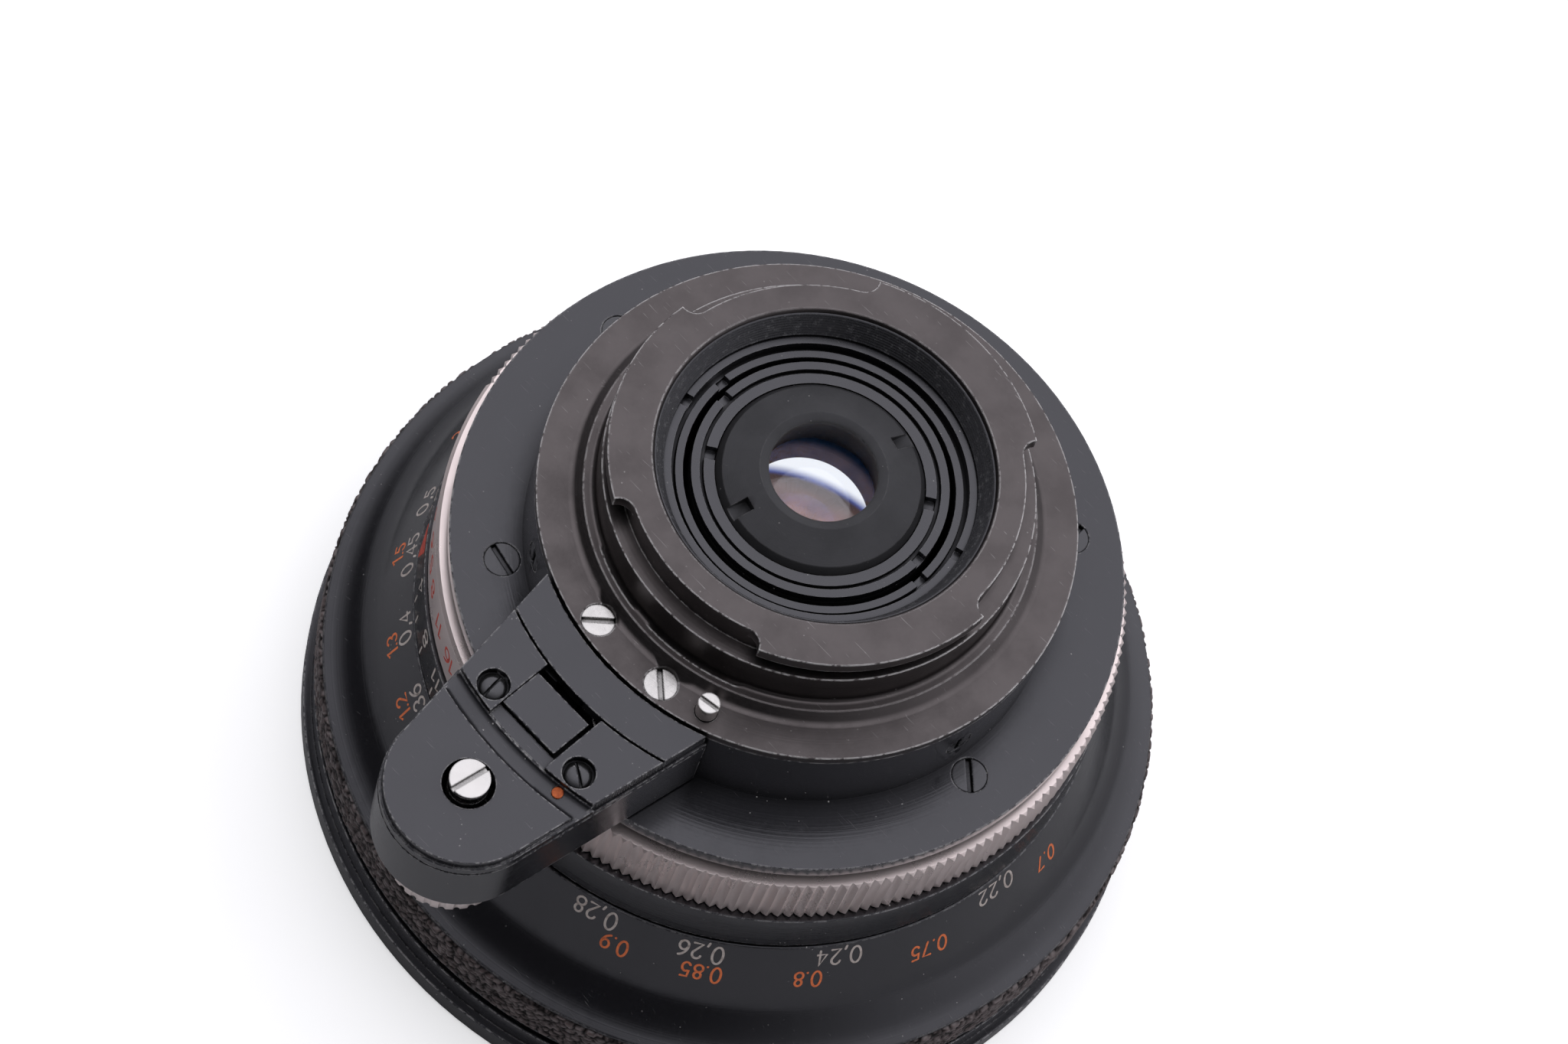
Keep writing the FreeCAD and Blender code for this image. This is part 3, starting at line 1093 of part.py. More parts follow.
make_mount()
make_mount_screws()
make_lock_pin()
make_hub()
make_hub_screws()
make_cover()
make_cover_screws()
make_main_barrel()
make_detent_ball()
make_scale_ring()
make_aperture_ring()
make_preset_ring()
make_focus_ring()
make_keeper()
make_head_shell()
make_front_optics()
make_guide_key()
make_iris_housing()
make_drive_ring()
for blade_index in range(BLADE_COUNT):
    make_blade(blade_index)
make_rear_tubes()
make_rear_tube()
make_rear_cell()
make_rear_optics()
make_arm_housing()
make_arm_plates()
make_slide()
make_crank()
make_plunger()
make_button()
make_spring()
doc.recompute()

for feature in doc.Objects:
    if "Invalid" in feature.State or "Error" in feature.State:
        raise RuntimeError("%s did not compute: %s" % (feature.Label, feature.State))
os.makedirs("parts", exist_ok=True)
for part in PARTS:
    shape = part.Shape
    if shape.isNull() or not shape.isValid() or not shape.Solids:
        raise RuntimeError("%s has no sound solid" % part.Label)
    shape.exportStep("parts/%s.step" % part.Label)
    print("%-22s solids %2d  volume %10.2f" % (part.Label, len(shape.Solids), shape.Volume))
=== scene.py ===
import json
import math

import bmesh
import bpy
from mathutils import Matrix, Vector, noise
from mathutils.bvhtree import BVHTree


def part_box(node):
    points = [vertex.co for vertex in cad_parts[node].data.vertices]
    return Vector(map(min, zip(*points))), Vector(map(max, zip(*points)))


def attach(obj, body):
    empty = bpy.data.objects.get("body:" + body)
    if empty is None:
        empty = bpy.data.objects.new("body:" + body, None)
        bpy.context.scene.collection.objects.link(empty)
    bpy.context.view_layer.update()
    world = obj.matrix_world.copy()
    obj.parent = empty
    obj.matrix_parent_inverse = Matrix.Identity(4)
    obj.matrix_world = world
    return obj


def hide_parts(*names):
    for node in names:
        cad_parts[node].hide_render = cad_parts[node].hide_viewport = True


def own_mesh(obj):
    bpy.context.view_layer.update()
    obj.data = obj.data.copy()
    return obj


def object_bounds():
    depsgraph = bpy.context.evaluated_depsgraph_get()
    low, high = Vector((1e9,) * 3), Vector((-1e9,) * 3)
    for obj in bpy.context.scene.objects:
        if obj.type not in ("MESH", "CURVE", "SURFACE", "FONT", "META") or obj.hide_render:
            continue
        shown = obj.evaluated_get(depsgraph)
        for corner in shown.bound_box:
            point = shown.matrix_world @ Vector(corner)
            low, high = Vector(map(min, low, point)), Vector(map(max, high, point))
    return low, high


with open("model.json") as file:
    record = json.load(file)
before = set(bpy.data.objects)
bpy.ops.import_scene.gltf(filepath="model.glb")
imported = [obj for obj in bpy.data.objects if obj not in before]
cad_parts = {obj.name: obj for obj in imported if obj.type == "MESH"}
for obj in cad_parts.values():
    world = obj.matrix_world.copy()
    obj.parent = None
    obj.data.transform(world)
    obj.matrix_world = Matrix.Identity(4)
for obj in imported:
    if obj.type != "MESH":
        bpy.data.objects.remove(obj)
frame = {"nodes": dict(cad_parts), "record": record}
FRAME_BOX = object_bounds()

# A wide-angle camera lens standing on its front rim.  The optical axis is Z, the
# mount faces up, the release arm reaches out along +X.  Lengths below are in
# millimetres and are turned into metres by MM when a mesh is made.

MM = 0.001


# ------------------------------------------------------------------ material kit

class Paint:
    """A node material built line by line; every value wired in is a socket or a number."""

    def __init__(self, name):
        self.material = bpy.data.materials.new(name)
        self.material.use_nodes = True
        self.tree = self.material.node_tree
        self.tree.nodes.clear()
        self.rounded = None
        self.out = self.tree.nodes.new("ShaderNodeOutputMaterial")
        self.body = self.tree.nodes.new("ShaderNodeBsdfPrincipled")
        self.tree.links.new(self.body.outputs["BSDF"], self.out.inputs["Surface"])
        place = self.add("ShaderNodeTexCoord").outputs["Object"]
        self.place = self.vector("MULTIPLY", place, (1 / MM, 1 / MM, 1 / MM))

    def add(self, kind, **settings):
        node = self.tree.nodes.new(kind)
        for name, value in settings.items():
            setattr(node, name, value)
        return node

    def wire(self, value, socket):
        if isinstance(value, bpy.types.NodeSocket):
            self.tree.links.new(value, socket)
        else:
            socket.default_value = value

    def set(self, name, value):
        self.wire(value, self.body.inputs[name])

    def vector(self, operation, first, second):
        node = self.add("ShaderNodeVectorMath", operation=operation)
        self.wire(first, node.inputs[0])
        self.wire(second, node.inputs[1])
        return node.outputs[0]

    def math(self, operation, first, second=0.0, clamp=False):
        node = self.add("ShaderNodeMath", operation=operation, use_clamp=clamp)
        self.wire(first, node.inputs[0])
        self.wire(second, node.inputs[1])
        return node.outputs[0]

    def split(self, vector):
        node = self.add("ShaderNodeSeparateXYZ")
        self.wire(vector, node.inputs[0])
        return node.outputs

    def join(self, x, y, z):
        node = self.add("ShaderNodeCombineXYZ")
        for socket, value in zip(node.inputs, (x, y, z)):
            self.wire(value, socket)
        return node.outputs[0]

    def noise(self, scale, detail=3.0, rough=0.55, place=None, warp=0.0):
        node = self.add("ShaderNodeTexNoise")
        self.wire(self.place if place is None else place, node.inputs["Vector"])
        node.inputs["Scale"].default_value = scale
        node.inputs["Detail"].default_value = detail
        node.inputs["Roughness"].default_value = rough
        node.inputs["Distortion"].default_value = warp
        return node.outputs["Fac"]

    def cells(self, scale):
        node = self.add("ShaderNodeTexVoronoi", feature="F1")
        self.wire(self.place, node.inputs["Vector"])
        node.inputs["Scale"].default_value = scale
        return node.outputs["Distance"]

    def ramp(self, value, low, high, out_low=0.0, out_high=1.0):
        node = self.add("ShaderNodeMapRange", interpolation_type="SMOOTHSTEP")
        for name, amount in (("Value", value), ("From Min", low), ("From Max", high),
                             ("To Min", out_low), ("To Max", out_high)):
            self.wire(amount, node.inputs[name])
        return node.outputs["Result"]

    def mix(self, share, first, second):
        node = self.add("ShaderNodeMix", data_type="RGBA")
        self.wire(share, node.inputs["Factor"])
        self.wire(first, node.inputs["A"])
        self.wire(second, node.inputs["B"])
        return node.outputs["Result"]

    def blend(self, share, first, second):
        node = self.add("ShaderNodeMix", data_type="FLOAT")
        self.wire(share, node.inputs["Factor"])
        self.wire(first, node.inputs["A"])
        self.wire(second, node.inputs["B"])
        return node.outputs["Result"]

    def bump(self, height, distance, strength=1.0):
        node = self.add("ShaderNodeBump")
        self.wire(height, node.inputs["Height"])
        node.inputs["Distance"].default_value = distance * MM
        node.inputs["Strength"].default_value = strength
        if self.rounded is not None:
            self.wire(self.rounded, node.inputs["Normal"])
        self.tree.links.new(node.outputs["Normal"], self.body.inputs["Normal"])

    def attribute(self, name):
        return self.add("ShaderNodeAttribute", attribute_name=name).outputs["Fac"]

    def hollow(self, reach, samples):
        """One in the open, falling toward zero in corners, slots and gaps."""
        node = self.add("ShaderNodeAmbientOcclusion", samples=samples)
        node.inputs["Distance"].default_value = reach * MM
        return node.outputs["AO"]

    def worn_edge(self, radius):
        """One along outer and inner edges, zero on open faces, with a rounded normal; it masks
        rubbed wear and a painted edge highlight.
        """
        bevel = self.add("ShaderNodeBevel", samples=4)
        bevel.inputs["Radius"].default_value = radius * MM
        self.rounded = bevel.outputs["Normal"]
        turn = self.add("ShaderNodeVectorMath", operation="DOT_PRODUCT")
        self.wire(self.rounded, turn.inputs[0])
        self.wire(self.add("ShaderNodeNewGeometry").outputs["Normal"], turn.inputs[1])
        return self.ramp(turn.outputs["Value"], 0.99, 0.93)

    def turning(self, fine):
        """Noise that is the same all the way round the axis: the marks of a lathe."""
        x, y, z = self.split(self.place)
        radius = self.math("SQRT", self.math("ADD", self.math("MULTIPLY", x, x),
                                             self.math("MULTIPLY", y, y)))
        return self.noise(fine, 2.0, 0.6, self.join(radius, z, 0.0))


def grey(level, warmth=0.0):
    return (level * (1 + warmth), level, level * (1 - warmth), 1.0)


DUST = (0.75, 0.73, 0.7, 1.0)
DUST_ROUGHNESS = 0.9
# The colour that corners, slots and gaps are darkened toward: dirt and painted shade.
GRIME_AND_SHADE = (0.004, 0.004, 0.004, 1.0)
RUBBED_METALLIC = 0.3
RUBBED_ROUGHNESS = 0.42
SCRATCH_DEPTH = 0.012
BLACK_SHEEN = (0.95, 0.945, 1.0, 1.0)


def finish_metal(name, colour, bright, roughness, metallic=1.0, turned=0.012, wear=0.5,
                 dust=0.5, mottling=0.25, specular=0.5, scratches=0.35, grime_and_shade=0.8,
                 grime_and_shade_reach=1.2, edge_radius=0.22, care=4):
    """Turned metal, plated or anodised: lathe marks, rubbed edges with a painted highlight,
    scratches, dust, and dirt with painted shade in corners, slots and gaps.

    colour is the open face and bright the rubbed metal and the painted edge highlight; wear,
    dust, mottling, scratches and the darkening of corners (dirt and painted shade) are shares
    from 0 to 1; the reach of that darkening and edge_radius are millimetres; turned is the
    strength of the lathe marks; care is the number of samples of the gap test."""
    paint = Paint(name)
    open_air = paint.hollow(grime_and_shade_reach, care)
    openness = paint.ramp(open_air, 0.25, 0.85, 1 - grime_and_shade, 1.0)
    broad = paint.ramp(paint.noise(0.22, 4.0), 0.35, 0.7)
    fine = paint.noise(3.0, 5.0, 0.65)
    darker = tuple(part * (1 - mottling) for part in colour[:3]) + (1.0,)
    tone = paint.mix(broad, colour, darker)
    rubbed = paint.ramp(paint.noise(1.4, 6.0, 0.7), 0.62 - wear * 0.3, 0.74 - wear * 0.3)
    rubbed = paint.math("MULTIPLY", rubbed, paint.ramp(open_air, 0.45, 0.7))
    # Edges lighten toward the bright colour where the rubbing pattern is strong: rubbed wear
    # and a painted highlight along the edge lines.
    edge = paint.attribute("edge")
    if edge_radius:
        edge = paint.math("MAXIMUM", edge, paint.worn_edge(edge_radius))
    edge = paint.math("MULTIPLY", edge, rubbed, clamp=True)
    tone = paint.mix(edge, tone, bright)
    drawn_out = paint.vector("MULTIPLY", paint.place, (9.0, 0.35, 2.0))
    streaks = paint.noise(1.0, 2.0, 0.5, drawn_out, 0.4)
    scratch = paint.ramp(streaks, 0.715, 0.73, 0.0, scratches)
    normal = paint.add("ShaderNodeNewGeometry").outputs["Normal"]
    flat_top = paint.ramp(paint.math("ABSOLUTE", paint.split(normal)[2]), 0.6, 0.85)
    scratch = paint.math("MULTIPLY", scratch, flat_top)
    tone = paint.mix(scratch, tone, bright)
    grains = paint.ramp(paint.cells(1.25), 0.12, 0.06)
    patch = paint.ramp(paint.noise(0.5, 4.0), 0.56, 0.62)
    near_gap = paint.ramp(open_air, 0.95, 0.7, 0.25, 1.0)
    dusty = paint.math("MULTIPLY", paint.math("MULTIPLY", grains, patch), dust, clamp=True)
    dusty = paint.math("MULTIPLY", dusty, near_gap)
    # Corners, slots and gaps darken toward the dark colour: dirt and painted shade.
    tone = paint.mix(openness, GRIME_AND_SHADE, tone)
    tone = paint.mix(dusty, tone, DUST)
    paint.set("Base Color", tone)
    clean_metallic = paint.blend(edge, metallic, RUBBED_METALLIC)
    paint.set("Metallic", paint.blend(dusty, clean_metallic, 0.0))
    spread = paint.blend(broad, roughness * 0.9, roughness * 1.12)
    spread = paint.math("ADD", spread, paint.ramp(fine, 0.3, 0.8, -3.5 * turned, 4 * turned))
    spread = paint.blend(edge, spread, RUBBED_ROUGHNESS)
    paint.set("Roughness", paint.blend(dusty, spread, DUST_ROUGHNESS))
    # The reflection is dimmed in corners, slots and gaps as well: painted shade.
    paint.set("Specular IOR Level", paint.math("MULTIPLY", openness, specular))
    if metallic == 0:
        paint.set("Specular Tint", BLACK_SHEEN)
    height = paint.math("ADD", paint.math("MULTIPLY", paint.turning(5.0), turned),
                        paint.math("MULTIPLY", fine, turned * 0.25))
    height = paint.math("ADD", height, paint.math("MULTIPLY", scratch, -SCRATCH_DEPTH))
    paint.bump(height, 0.6)
    return paint.material


def grained_leather():
    """Black leatherette: crests a lighter brown and glossy, valleys dull and painted almost
    black as shade in the grain's hollows.
    """
    paint = Paint("leatherette")
    light_brown, dark_brown = (0.15, 0.11, 0.105, 1.0), (0.09, 0.07, 0.068, 1.0)
    valley, lint = (0.004, 0.0035, 0.0035, 1.0), (0.3, 0.27, 0.25, 1.0)
    crest = paint.attribute("crest")
    brown = paint.mix(paint.noise(0.12, 3.0), light_brown, dark_brown)
    # The valleys are painted almost black: painted shade in the hollows of the grain.
    tone = paint.mix(crest, valley, brown)
    speck = paint.ramp(paint.cells(2.2), 0.08, 0.03, 0.0, 0.5)
    paint.set("Base Color", paint.mix(speck, tone, lint))
    paint.set("Roughness", paint.blend(crest, 0.62, 0.3))
    paint.set("Specular IOR Level", paint.blend(crest, 0.05, 0.9))
    paint.bump(paint.noise(6.0, 4.0), 0.02)
    return paint.material


def filled_paint(name, colour, shade):
    """The paint of the numbers and marks: uneven, slightly dirty, matt."""
    paint = Paint(name)
    dirt = paint.ramp(paint.noise(1.8, 5.0, 0.7), 0.42, 0.7)
    paint.set("Base Color", paint.mix(dirt, colour, shade))
    paint.set("Roughness", paint.blend(dirt, 0.5, 0.7))
    paint.set("Specular IOR Level", 0.2)
    paint.bump(paint.noise(5.0, 4.0), 0.02)
    return paint.material


def coated_glass():
    """Polished glass with a thin purple coating and a faint smear."""
    paint = Paint("coated_glass")
    paint.set("Base Color", (0.95, 0.95, 1.0, 1.0))
    paint.set("Transmission Weight", 1.0)
    smear = paint.ramp(paint.noise(0.5, 5.0), 0.5, 0.75, 0.0, 0.06)
    paint.set("Roughness", smear)
    paint.set("IOR", 1.62)
    paint.set("Thin Film Thickness", 130.0)
    paint.set("Thin Film IOR", 1.38)
    return paint.material


def lit_glass():
    """The last element, with a painted reflection glowing on its upper surface: the pale floor
    seen through the lens as a bright crescent with a blue lower edge, and a dim rosy glow with
    painted shade elsewhere.

    The crescent lies inside the near circle and outside the far one."""
    paint = Paint("lit_glass")
    white, blue = (0.86, 0.88, 0.92, 1.0), (0.05, 0.08, 0.30, 1.0)
    light_rose, dark_rose = (0.20, 0.095, 0.075, 1.0), (0.055, 0.036, 0.034, 1.0)
    shadow, unlit = (0.015, 0.012, 0.012, 1.0), (0.0, 0.0, 0.0, 1.0)
    paint.set("Base Color", (0.95, 0.95, 1.0, 1.0))
    paint.set("Transmission Weight", 1.0)
    paint.set("IOR", 1.55)
    paint.set("Roughness", paint.ramp(paint.noise(0.6, 5.0), 0.5, 0.75, 0.0, 0.04))
    near, near_radius = (3.13, 1.35), 6.42
    far, far_radius = (20.6, 9.7), 23.05
    x, y, z = paint.split(paint.place)

    def distance(centre):
        dx = paint.math("SUBTRACT", x, centre[0])
        dy = paint.math("SUBTRACT", y, centre[1])
        return paint.math("SQRT", paint.math("ADD", paint.math("MULTIPLY", dx, dx),
                                             paint.math("MULTIPLY", dy, dy)))

    inside = paint.ramp(distance(near), near_radius + 0.03, near_radius - 0.03)
    reach = distance(far)
    beyond = paint.ramp(reach, far_radius - 0.15, far_radius + 0.5)
    whiteness = paint.ramp(reach, far_radius + 0.1, far_radius + 1.3)
    streak = paint.mix(whiteness, blue, white)
    low = paint.ramp(reach, far_radius, far_radius - 3.5)
    cloud = paint.ramp(paint.noise(0.35, 2.0), 0.3, 0.7, 0.6, 1.2)
    rosy = paint.mix(low, dark_rose, light_rose)
    rosy = paint.mix(cloud, shadow, rosy)
    top_fade = paint.ramp(distance(near), near_radius + 2.2, near_radius + 0.9)
    rosy = paint.mix(top_fade, unlit, rosy)
    crescent = paint.math("MULTIPLY", inside, beyond)
    upper_side = paint.ramp(z, 1.4, 1.6)
    # The upper side glows: a painted reflection, darkened in places by painted shade.
    paint.set("Emission Color", paint.mix(crescent, rosy, streak))
    paint.set("Emission Strength", upper_side)
    return paint.material


LOOKS = {
    "satin_nickel": finish_metal(
        "satin_nickel", (0.112, 0.100, 0.099, 1.0), grey(0.9, 0.02), 0.36, wear=0.75,
        dust=0.8, mottling=0.16, scratches=0.12, grime_and_shade=0.7),
    "pale_nickel": finish_metal(
        "pale_nickel", (0.92, 0.80, 0.77, 1.0), grey(0.95, 0.02), 0.3, metallic=0.75,
        turned=0.001, wear=0.9, dust=0.0, mottling=0.06, scratches=0.0, grime_and_shade=0.6,
        grime_and_shade_reach=0.3, edge_radius=0.0, care=12),
    "bright_steel": finish_metal(
        "bright_steel", grey(0.68, 0.03), grey(0.8, 0.02), 0.26, wear=0.3, dust=0.3,
        mottling=0.1, grime_and_shade=0.95, grime_and_shade_reach=0.6),
    "black_anodised": finish_metal(
        "black_anodised", (0.010, 0.010, 0.012, 1.0), grey(0.5, 0.02), 0.21, metallic=0.0,
        wear=0.6, dust=0.9, mottling=0.2, specular=0.9, scratches=0.12, grime_and_shade=0.85,
        grime_and_shade_reach=4.0),
    "black_ring": finish_metal(
        "black_ring", (0.014, 0.014, 0.016, 1.0), grey(0.22, 0.02), 0.26, metallic=0.0,
        turned=0.003, wear=0.7, dust=0.9, mottling=0.2, specular=0.95, scratches=0.12,
        grime_and_shade=0.85, grime_and_shade_reach=0.9, edge_radius=0.09, care=12),
    "thread_black": finish_metal(
        "thread_black", (0.016, 0.016, 0.018, 1.0), grey(0.3), 0.3, metallic=0.0, wear=0.3,
        dust=0.4, mottling=0.12, specular=0.7, grime_and_shade=0.3),
    "matt_black": finish_metal(
        "matt_black", (0.026, 0.026, 0.027, 1.0), grey(0.16, 0.02), 0.45, metallic=0.0,
        wear=0.75, dust=0.9, mottling=0.15, specular=0.4, scratches=0.1, grime_and_shade=0.4,
        grime_and_shade_reach=2.0, edge_radius=0.16),
    "black_screw": finish_metal(
        "black_screw", grey(0.012), grey(0.25), 0.2, metallic=0.0, wear=0.4, dust=0.8,
        specular=1.0, scratches=0.1),
    "plain_aluminium": finish_metal("plain_aluminium", grey(0.5), grey(0.7), 0.4),
    "blade_steel": finish_metal(
        "blade_steel", (0.05, 0.055, 0.07, 1.0), grey(0.3), 0.33, wear=0.1, dust=0.2),
    "leatherette": grained_leather(),
    "orange_paint": filled_paint(
        "orange_paint", (0.70, 0.17, 0.05, 1.0), (0.45, 0.10, 0.04, 1.0)),
    "coated_glass": coated_glass(),
    "lit_glass": lit_glass(),
}
INK = {
    "cream": filled_paint("cream_paint", (0.56, 0.50, 0.46, 1.0), (0.34, 0.29, 0.26, 1.0)),
    "orange": filled_paint("scale_orange", (0.85, 0.21, 0.07, 1.0), (0.56, 0.14, 0.06, 1.0)),
    "red": filled_paint("scale_red", (0.62, 0.075, 0.045, 1.0), (0.36, 0.05, 0.04, 1.0)),
}

# The look of a node is its material slot, except for these.
LOOK_OF = dict(sleeve_lock_ring="black_ring", sleeve_inner_ring="black_ring",
               rear_tube_ring="black_ring", rear_cell_ring="black_ring",
               guide_sleeve="black_ring", rear_element="lit_glass",
               rear_cell="matt_black", rear_tube="matt_black")
SLOTS = {row["node"]: row["material_slot"] for row in frame["record"]["subparts"]}
BODY_OF = {node: body for body, nodes in frame["record"]["behaviour"]["bodies"].items()
           for node in nodes}


# ------------------------------------------------------- finished copies of CAD nodes

MERGE_GAP = 0.0004
FLAT_ANGLE = 0.3
BREAK_ANGLE = 28.0
BREAK_SEGMENTS = 2
SMOOTH_ANGLE = 40.0
# These nodes get the full width of edge break; on the others it narrows where edges
# come close together.
ROOMY = ("bayonet_mount", "rear_cover", "arm_blocks", "arm_band", "transfer_slide",
         "depth_of_field_ring", "focus_ring", "lock_pin", "mount_screws")


def put_in(name, mesh, look, body):
    """Links a mesh as a piece that rides on a body."""
    piece = bpy.data.objects.new(name, mesh)
    bpy.context.scene.collection.objects.link(piece)
    mesh.materials.append(look)
    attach(piece, body)
    return piece


def finished(node, look, bevel):
    """A copy of a CAD node with its outer edges broken, standing for the node."""
    source = frame["nodes"][node]
    shape = bmesh.new()
    shape.from_mesh(source.data)
    bmesh.ops.remove_doubles(shape, verts=shape.verts, dist=MERGE_GAP * MM)
    bmesh.ops.dissolve_limit(shape, angle_limit=math.radians(FLAT_ANGLE),
                             verts=shape.verts, edges=shape.edges, delimit=set())
    bmesh.ops.dissolve_degenerate(shape, dist=MERGE_GAP * MM, edges=shape.edges)
    edges = [edge for edge in shape.edges
             if len(edge.link_faces) == 2 and edge.is_convex
             and edge.calc_face_angle(0.0) > math.radians(BREAK_ANGLE)]
    broken = bmesh.ops.bevel(shape, geom=edges, offset=bevel * MM, segments=BREAK_SEGMENTS,
                             profile=0.5, affect="EDGES", clamp_overlap=node not in ROOMY)
    edge_break_faces = set(broken["faces"])
    # The narrow edge-break faces are marked for rubbed wear and a painted edge highlight.
    mark = shape.faces.layers.float.new("edge")
    for face in shape.faces:
        width = face.calc_area() / max(edge.calc_length() for edge in face.edges)
        face.smooth = True
        face[mark] = 1.0 if face in edge_break_faces and width < bevel * MM else 0.0
    mesh = bpy.data.meshes.new(node + "_finished")
    shape.to_mesh(mesh)
    shape.free()
    mesh.set_sharp_from_angle(angle=math.radians(SMOOTH_ANGLE))
    piece = put_in(node + "_finished", mesh, look, BODY_OF[node])
    weigh = piece.modifiers.new("even_shading", "WEIGHTED_NORMAL")
    weigh.keep_sharp = True
    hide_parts(node)
    return piece


# ------------------------------------------------------------- turned and fine details

def ring_point(radius, angle, z):
    return Vector((radius * math.cos(angle), radius * math.sin(angle), z)) * MM


def surface_of(node):
    source = frame["nodes"][node].data
    return BVHTree.FromPolygons([v.co for v in source.vertices],
                                [tuple(p.vertices) for p in source.polygons])


OUTSIDE = 60.0


def outer_radius(surface, angle, z):
    """Radius of a node's outside at one angle and height, in millimetres."""
    start = ring_point(OUTSIDE, angle, z)
    inward = Vector((-math.cos(angle), -math.sin(angle), 0.0))
    hit = surface.ray_cast(start, inward)[0]
    return hit.xy.length / MM


RIDGE_ANGLE = 35.0


def turned_ring(name, profile, around, look, body):
    """A closed profile of (radius, z) points in millimetres, turned about the axis."""
    verts, faces = [], []
    count = len(profile)
    for step in range(around):
        angle = 2 * math.pi * step / around
        verts += [ring_point(radius, angle, z) for radius, z in profile]
    for step in range(around):
        here, there = step * count, (step + 1) % around * count
        for k in range(count):
            after = (k + 1) % count
            faces.append((here + k, there + k, there + after, here + after))
    mesh = bpy.data.meshes.new(name)
    mesh.from_pydata(verts, [], faces)
    tidy = bmesh.new()
    tidy.from_mesh(mesh)
    bmesh.ops.recalc_face_normals(tidy, faces=tidy.faces)
    tidy.to_mesh(mesh)
    tidy.free()
    mesh.shade_smooth()
    mesh.set_sharp_from_angle(angle=math.radians(RIDGE_ANGLE))
    return put_in(name, mesh, look, body)


def fine_ridges(name, start, end, count, depth, sunk, look, body, around=360):
    """V-shaped ridges on the inside of a bore, from one (radius, z) to another.

    depth is the height of a ridge and sunk how far the ring's back lies in the wall."""
    profile = []
    for k in range(count * 2 + 1):
        share = k / (count * 2)
        radius = start[0] + (end[0] - start[0]) * share
        z = start[1] + (end[1] - start[1]) * share
        profile.append((radius - depth * (k % 2), z))
    profile += [(end[0] + sunk, end[1]), (start[0] + sunk, start[1])]
    return turned_ring(name, profile, around, look, body)


def file_marks(name, low_z, high_z, first_x, last_x, pitch=0.3, depth=0.13):
    """Fine upright ridges along the arm's flank, between its ledge and its top plates."""
    plates = [surface_of("arm_band"), surface_of("arm_blocks")]
    inward = Vector((0.0, -1.0, 0.0))
    outside, flank_limit, buried = 20.0, 7.0, 0.05
    shape = bmesh.new()
    for step in range(round((last_x - first_x) / pitch)):
        x = first_x + pitch * step
        start = Vector((x, outside, 0.5 * (low_z + high_z))) * MM
        hits = [plate.ray_cast(start, inward)[0] for plate in plates]
        flank = max([hit.y / MM for hit in hits if hit], default=0.0)
        if flank < flank_limit:
            continue
        corners = []
        for z in (low_z, high_z):
            for along, out in ((-0.5 * pitch, -buried), (0.0, depth), (0.5 * pitch, -buried)):
                corners.append(shape.verts.new(Vector((x + along, flank + out, z)) * MM))
        for order in ((0, 2, 1), (3, 4, 5), (0, 1, 4, 3), (1, 2, 5, 4), (2, 0, 3, 5)):
            shape.faces.new([corners[k] for k in order])
    bmesh.ops.recalc_face_normals(shape, faces=shape.faces)
    mesh = bpy.data.meshes.new(name)
    shape.to_mesh(mesh)
    shape.free()
    put_in(name, mesh, LOOKS["black_screw"], BODY_OF["arm_housing"])


GRAIN_ANGLE = 60.0


def grained_grip(node):
    """The leatherette band: cells of raised grain, longer round the ring than across."""
    low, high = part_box(node)
    low_z, high_z = low.z / MM, high.z / MM
    surface = surface_of(node)
    middle = 0.5 * (low_z + high_z)
    plain_spot, thickness = 0.3, 0.9
    outer = outer_radius(surface, plain_spot, middle)
    inner = outer - thickness
    around, across = 2200, 30
    grain_along, grain_across, grain_depth = 0.95, 2.0, 0.22
    valley, waviness, wave_size = 0.4, Vector((0.35, 0.35, 0.5)), 0.9
    rounding, rim_drop = 0.3, 0.25
    shape = bmesh.new()
    crest = shape.verts.layers.float.new("crest")
    rows = []
    for step in range(around):
        angle = 2 * math.pi * step / around
        row = []
        for k in range(across + 1):
            share = k / across
            z = low_z + (high_z - low_z) * share
            edge = min(share, 1 - share) * (high_z - low_z)
            fall = max(0.0, 1 - edge / rounding)
            spot = Vector((outer * math.cos(angle) * grain_along,
                           outer * math.sin(angle) * grain_along, z * grain_across))
            spot += waviness * noise.noise(spot * wave_size)
            near = noise.voronoi(spot)[0]
            rise = min(1.0, (near[1] - near[0]) / valley)
            rise = rise * rise * (3 - 2 * rise)
            radius = outer - grain_depth * (1 - rise) - rim_drop * fall * fall
            vert = shape.verts.new(ring_point(radius, angle, z))
            vert[crest] = rise
            row.append(vert)
        row.append(shape.verts.new(ring_point(inner, angle, high_z)))
        row.append(shape.verts.new(ring_point(inner, angle, low_z)))
        rows.append(row)
    for here, there in zip(rows, rows[1:] + rows[:1]):
        for k in range(len(here)):
            after = (k + 1) % len(here)
            shape.faces.new((here[k], there[k], there[after], here[after]))
    bmesh.ops.recalc_face_normals(shape, faces=shape.faces)
    mesh = bpy.data.meshes.new(node + "_grain")
    shape.to_mesh(mesh)
    shape.free()
    mesh.shade_smooth()
    mesh.set_sharp_from_angle(angle=math.radians(GRAIN_ANGLE))
    piece = put_in(node + "_grain", mesh, LOOKS["leatherette"], BODY_OF[node])
    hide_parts(node)


# Directions of the two screws' slots, in degrees.
SCREW_SLOT = (95.9, 149.1)


